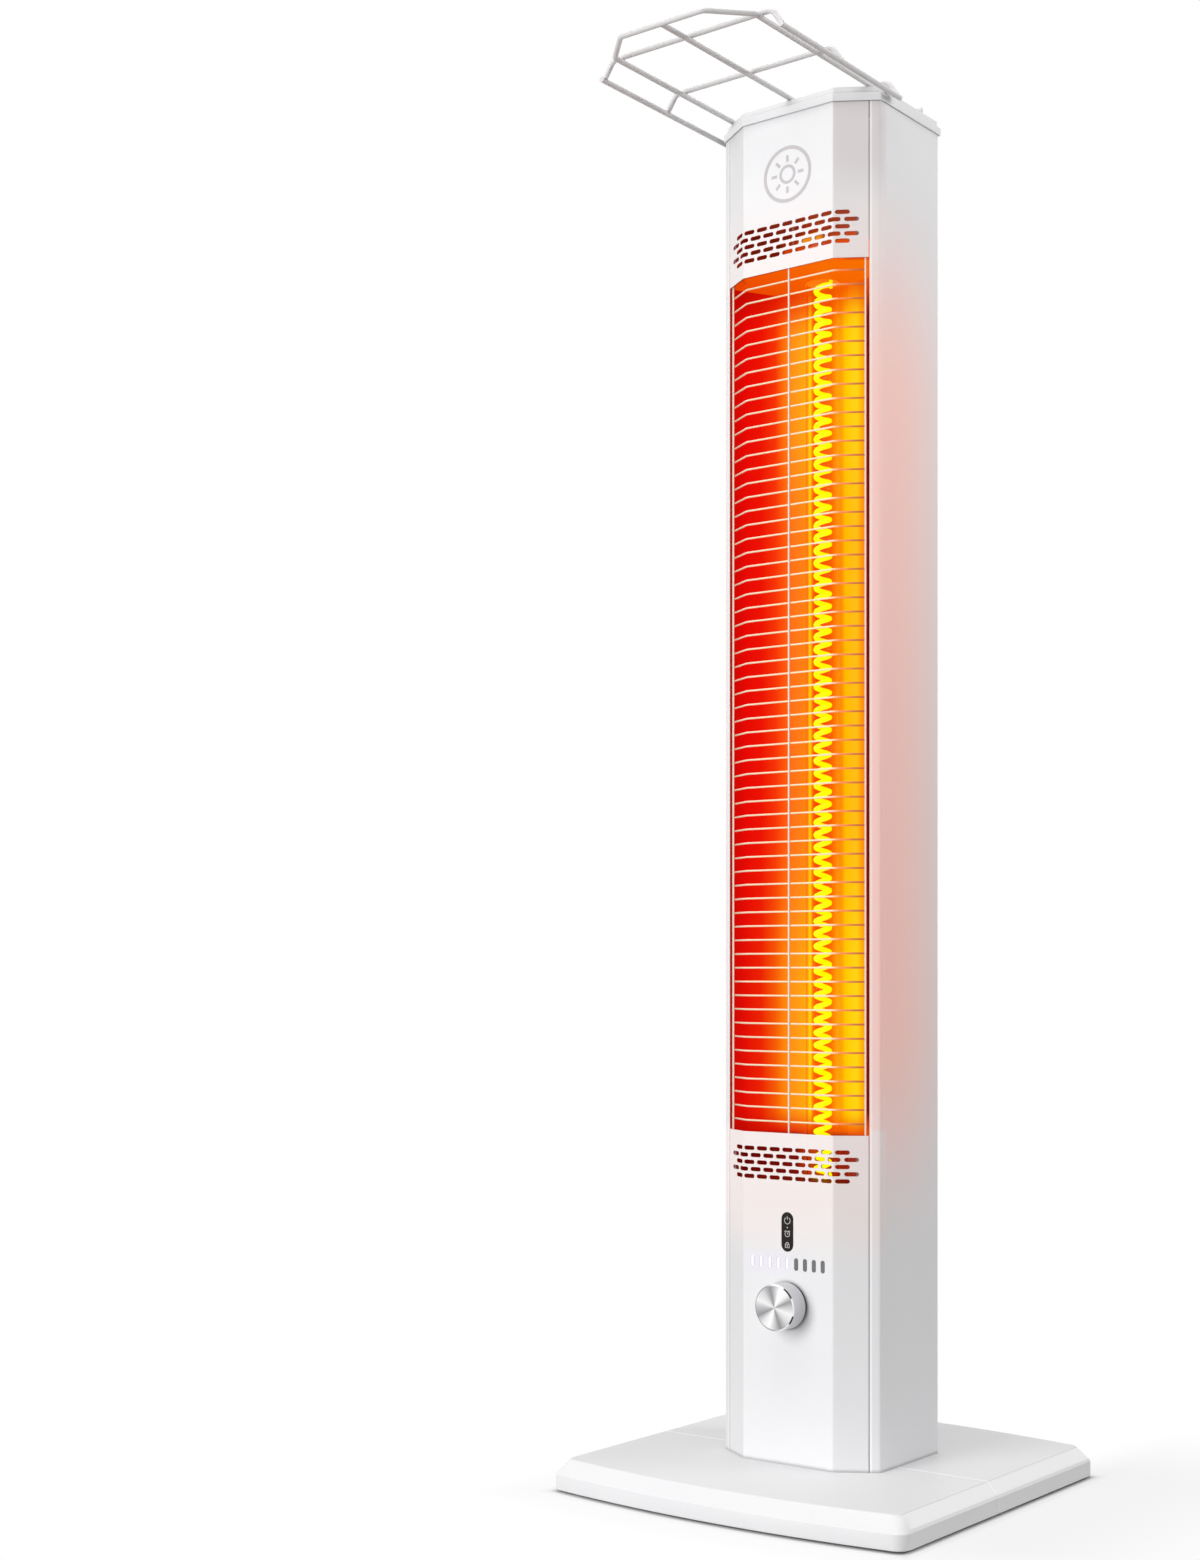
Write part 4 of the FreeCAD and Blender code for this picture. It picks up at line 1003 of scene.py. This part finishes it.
# %% [markdown]
# ## Symbols on the display
# The smoked display has small printed symbols: power, a dot, a clock and a padlock. Icons could be text in a
# symbol font, but no font is sure to be there on every machine. Rings, bars and dots are enough for all of
# them.

# %% Symbols on the display
panel_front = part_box("lower_front_panel")[0][1]
icon_print = grained("icon_print", screen(232, 226, 225), screen(216, 210, 209), (0.5, 0.6))

bm = bmesh.new()
power_z = base_top + 169.3 * MM
flat_ring(bm, 0, power_z, 2.3 * MM, 0.4 * MM, math.radians(125), math.radians(290), 24)
flat_bar(bm, 0, power_z + 1.9 * MM, 0.4 * MM, 2.4 * MM)
flat_disc(bm, 0, base_top + 164.5 * MM, 0.45 * MM)
clock_z = base_top + 160.0 * MM
flat_ring(bm, 0, clock_z, 1.9 * MM, 0.36 * MM)
flat_bar(bm, 0, clock_z + 0.55 * MM, 0.32 * MM, 1.3 * MM)
flat_bar(bm, 0.45 * MM, clock_z, 1.1 * MM, 0.32 * MM)
for side in (-1, 1):
    flat_bar(bm, side * 1.75 * MM, clock_z + 1.95 * MM, 0.36 * MM, 1.5 * MM, side * -math.radians(50))
lock_z = base_top + 152.4 * MM
flat_ring(bm, 0, lock_z + 0.7 * MM, 1.15 * MM, 0.36 * MM, 0.0, math.pi, 12)
for edge_z in (0.55 * MM, -1.85 * MM):
    flat_bar(bm, 0, lock_z + edge_z, 3.6 * MM, 0.36 * MM)
for side in (-1, 1):
    flat_bar(bm, side * 1.6 * MM, lock_z - 0.65 * MM, 0.36 * MM, 2.4 * MM)
flat_disc(bm, 0, lock_z - 0.65 * MM, 0.45 * MM)
raise_marks(bm, panel_front)
piece("display_symbols", bm, icon_print, "heater", smooth=False)

# %% [markdown]
# ## Symbol on the upper panel
# A plain sun in a ring says that this is a heater. Its eight rays are one bar, set round the centre by an
# angle. A mirror could save half of them, but a loop over the angle is shorter.

# %% Symbol on the upper panel
ring_print = grained("ring_print", screen(204, 197, 201), screen(197, 190, 194), (0.45, 0.55))
ray_count = 8
ray_reach = 10.8 * MM

bm = bmesh.new()
sign_z = base_top + 894.7 * MM
flat_ring(bm, 0, sign_z, 18.3 * MM, 2.3 * MM, steps=64)
flat_ring(bm, 0, sign_z, 5.6 * MM, 1.9 * MM, steps=40)
for i in range(ray_count):
    angle = full_turn * i / ray_count
    ray_x, ray_z = ray_reach * math.sin(angle), sign_z + ray_reach * math.cos(angle)
    flat_bar(bm, ray_x, ray_z, 1.9 * MM, 4.4 * MM, angle)
raise_marks(bm, panel_front)
piece("heat_symbol", bm, ring_print, "heater", smooth=False)

# %% [markdown]
# ## Floor
# The heater stands on a white studio floor. A floor that is only lit would turn grey further out. So it is
# pale near the base, where it keeps the shadow, and gives off plain white further away, for the camera only.
# The border follows the bowed ends of the base. On its right a mask mixes in less white, so a soft shade
# stays
# there: partly the lit floor's real shading and partly painted shade.


# %% Floor
def seen_directly(tree):
    """1 for rays from the camera, off a mirror or through glass, and 0 for rays that only carry light."""
    path = tree.nodes.new("ShaderNodeLightPath")
    seen = worked(tree, "MAXIMUM", path.outputs["Is Camera Ray"], path.outputs["Is Glossy Ray"])
    return worked(tree, "MAXIMUM", seen, path.outputs["Is Transmission Ray"])


def past_base(tree, x, y, low, high):
    """How far a point on the floor lies outside the base."""
    bow = 12 * MM
    middle_y = (low[1] + high[1]) / 2
    past_side = worked(tree, "SUBTRACT", worked(tree, "ABSOLUTE", x), high[0])
    share = worked(tree, "DIVIDE", x, high[0])
    bowed = multiply(tree, share, share, bow)
    from_middle = worked(tree, "ABSOLUTE", worked(tree, "SUBTRACT", y, middle_y))
    past_end = worked(tree, "ADD", worked(tree, "SUBTRACT", from_middle, high[1] - middle_y), bowed)
    return worked(tree, "MAXIMUM", past_side, past_end)


def pale_floor():
    material, tree, shader = new_material("pale_floor")
    low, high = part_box("base_front")[0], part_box("base_rear")[1]
    x, y, z = split_place(tree)
    away = scaled(tree, past_base(tree, x, y, low, high), -5 * MM, 45 * MM)
    whitening = ((0.0, 0.0), (0.1, 0.3), (0.16, 0.75), (0.28, 0.92), (1.0, 1.0))
    fade = ramp(tree, [(place, (share, share, share, 1.0)) for place, share in whitening], away)
    # Painted soft shade on the right: less white is mixed in there.
    to_right = band(tree, x, high[0], high[0], -40, 10, 30, 210)
    along = band(tree, y, low[1], high[1], -60, 90, -20, 200)
    soft_shade = multiply(tree, to_right, along, 0.16)
    whiten = worked(tree, "MAXIMUM", worked(tree, "SUBTRACT", fade, soft_shade), 0.0)
    pale = ramp(tree, [(0.3, neutral(222)), (0.7, neutral(226))], grain_of(tree, 30.0).outputs["Mask"])
    tree.links.new(mixed(tree, away, pale, neutral(176)), shader.inputs["Base Color"])
    shader.inputs["Roughness"].default_value = 0.9
    shader.inputs["Specular IOR Level"].default_value = 0.0
    white = add_node(tree, "ShaderNodeEmission", color=neutral(255), strength=1.0)
    blend = tree.nodes.new("ShaderNodeMixShader")
    tree.links.new(multiply(tree, whiten, seen_directly(tree)), blend.inputs[0])
    tree.links.new(shader.outputs[0], blend.inputs[1])
    tree.links.new(white.outputs[0], blend.inputs[2])
    tree.links.new(blend.outputs[0], tree.nodes["Material Output"].inputs["Surface"])
    return material


floor_half = 12.0
bm = bmesh.new()
bmesh.ops.create_grid(bm, x_segments=1, y_segments=1, size=floor_half)
mesh = bpy.data.meshes.new("floor")
bm.to_mesh(mesh)
bm.free()
floor = bpy.data.objects.new("floor", mesh)
bpy.context.scene.collection.objects.link(floor)
wear(floor, pale_floor())
print("floor", 2 * floor_half, "m wide")

# %% [markdown]
# ## Lamps
# A white thing on white needs soft light from the front and left, so that its right side turns grey and the
# heater stands out. Small lamps would cut hard shadows. Large area lamps act like studio windows: one in
# front, one above, and a weak one behind on the right for the side's upper part.


# %% Lamps
def lamp(name, place, aim, size, power):
    data = bpy.data.lights.new(name, "AREA")
    data.shape = "RECTANGLE"
    data.size, data.size_y = size
    data.energy = power
    obj = bpy.data.objects.new(name, data)
    obj.location = place
    obj.rotation_euler = (Vector(aim) - Vector(place)).to_track_quat("-Z", "Y").to_euler()
    bpy.context.scene.collection.objects.link(obj)
    print(name, power, "W")


lamp("front_window", (-0.72, -2.65, 1.0), (0, 0, 0.45), (1.2, 2.2), 54)
lamp("top_window", (0.0, -0.2, 2.8), (0, 0, 0), (2.0, 2.0), 33)
lamp("right_fill", (1.7, 0.9, 1.3), (0, 0, 2.2), (0.8, 0.8), 20)

# %% [markdown]
# ## Surroundings
# The studio's walls send back a little light from everywhere, and the picture's background is plain white. A
# white world that is strong enough for the background would wash out all shading. So the world is white only
# where it is seen directly, and much weaker as a source of light.

# %% World
world = bpy.data.worlds.new("studio")
bpy.context.scene.world = world
world.use_nodes = True
tree = world.node_tree
ambient = tree.nodes["Background"]
ambient.inputs["Color"].default_value = neutral(255)
ambient.inputs["Strength"].default_value = 0.29
backdrop = add_node(tree, "ShaderNodeBackground", color=neutral(255), strength=1.0)
choose = tree.nodes.new("ShaderNodeMixShader")
tree.links.new(seen_directly(tree), choose.inputs[0])
tree.links.new(ambient.outputs[0], choose.inputs[1])
tree.links.new(backdrop.outputs[0], choose.inputs[2])
tree.links.new(choose.outputs[0], tree.nodes["World Output"].inputs["Surface"])
bpy.context.scene.view_settings.view_transform = "Standard"
print("white surroundings")

# %% [markdown]
# ## Camera
# The camera stands in front on the right, at the height of the lower panel, and looks level, so that upright
# edges stay upright. Tilting it up would make them lean. The lens is shifted upwards instead, as on an
# architect's camera. Its place was found by fitting the heater's edges.

# %% Camera
image_height = 1560
focal_pixels = 2200.98
horizon_drop = 192.9
camera_data = bpy.data.cameras.new("camera")
camera_data.sensor_width = 36.0
camera_data.lens = camera_data.sensor_width * focal_pixels / image_height
camera_data.shift_y = horizon_drop / image_height
camera = bpy.data.objects.new("camera", camera_data)
camera.location = (0.8299, -1.3362, 0.3636)
camera.rotation_euler = (math.radians(90), 0, math.radians(37.687))
bpy.context.scene.collection.objects.link(camera)
bpy.context.scene.camera = camera
print("lens", round(camera_data.lens, 2), "mm")
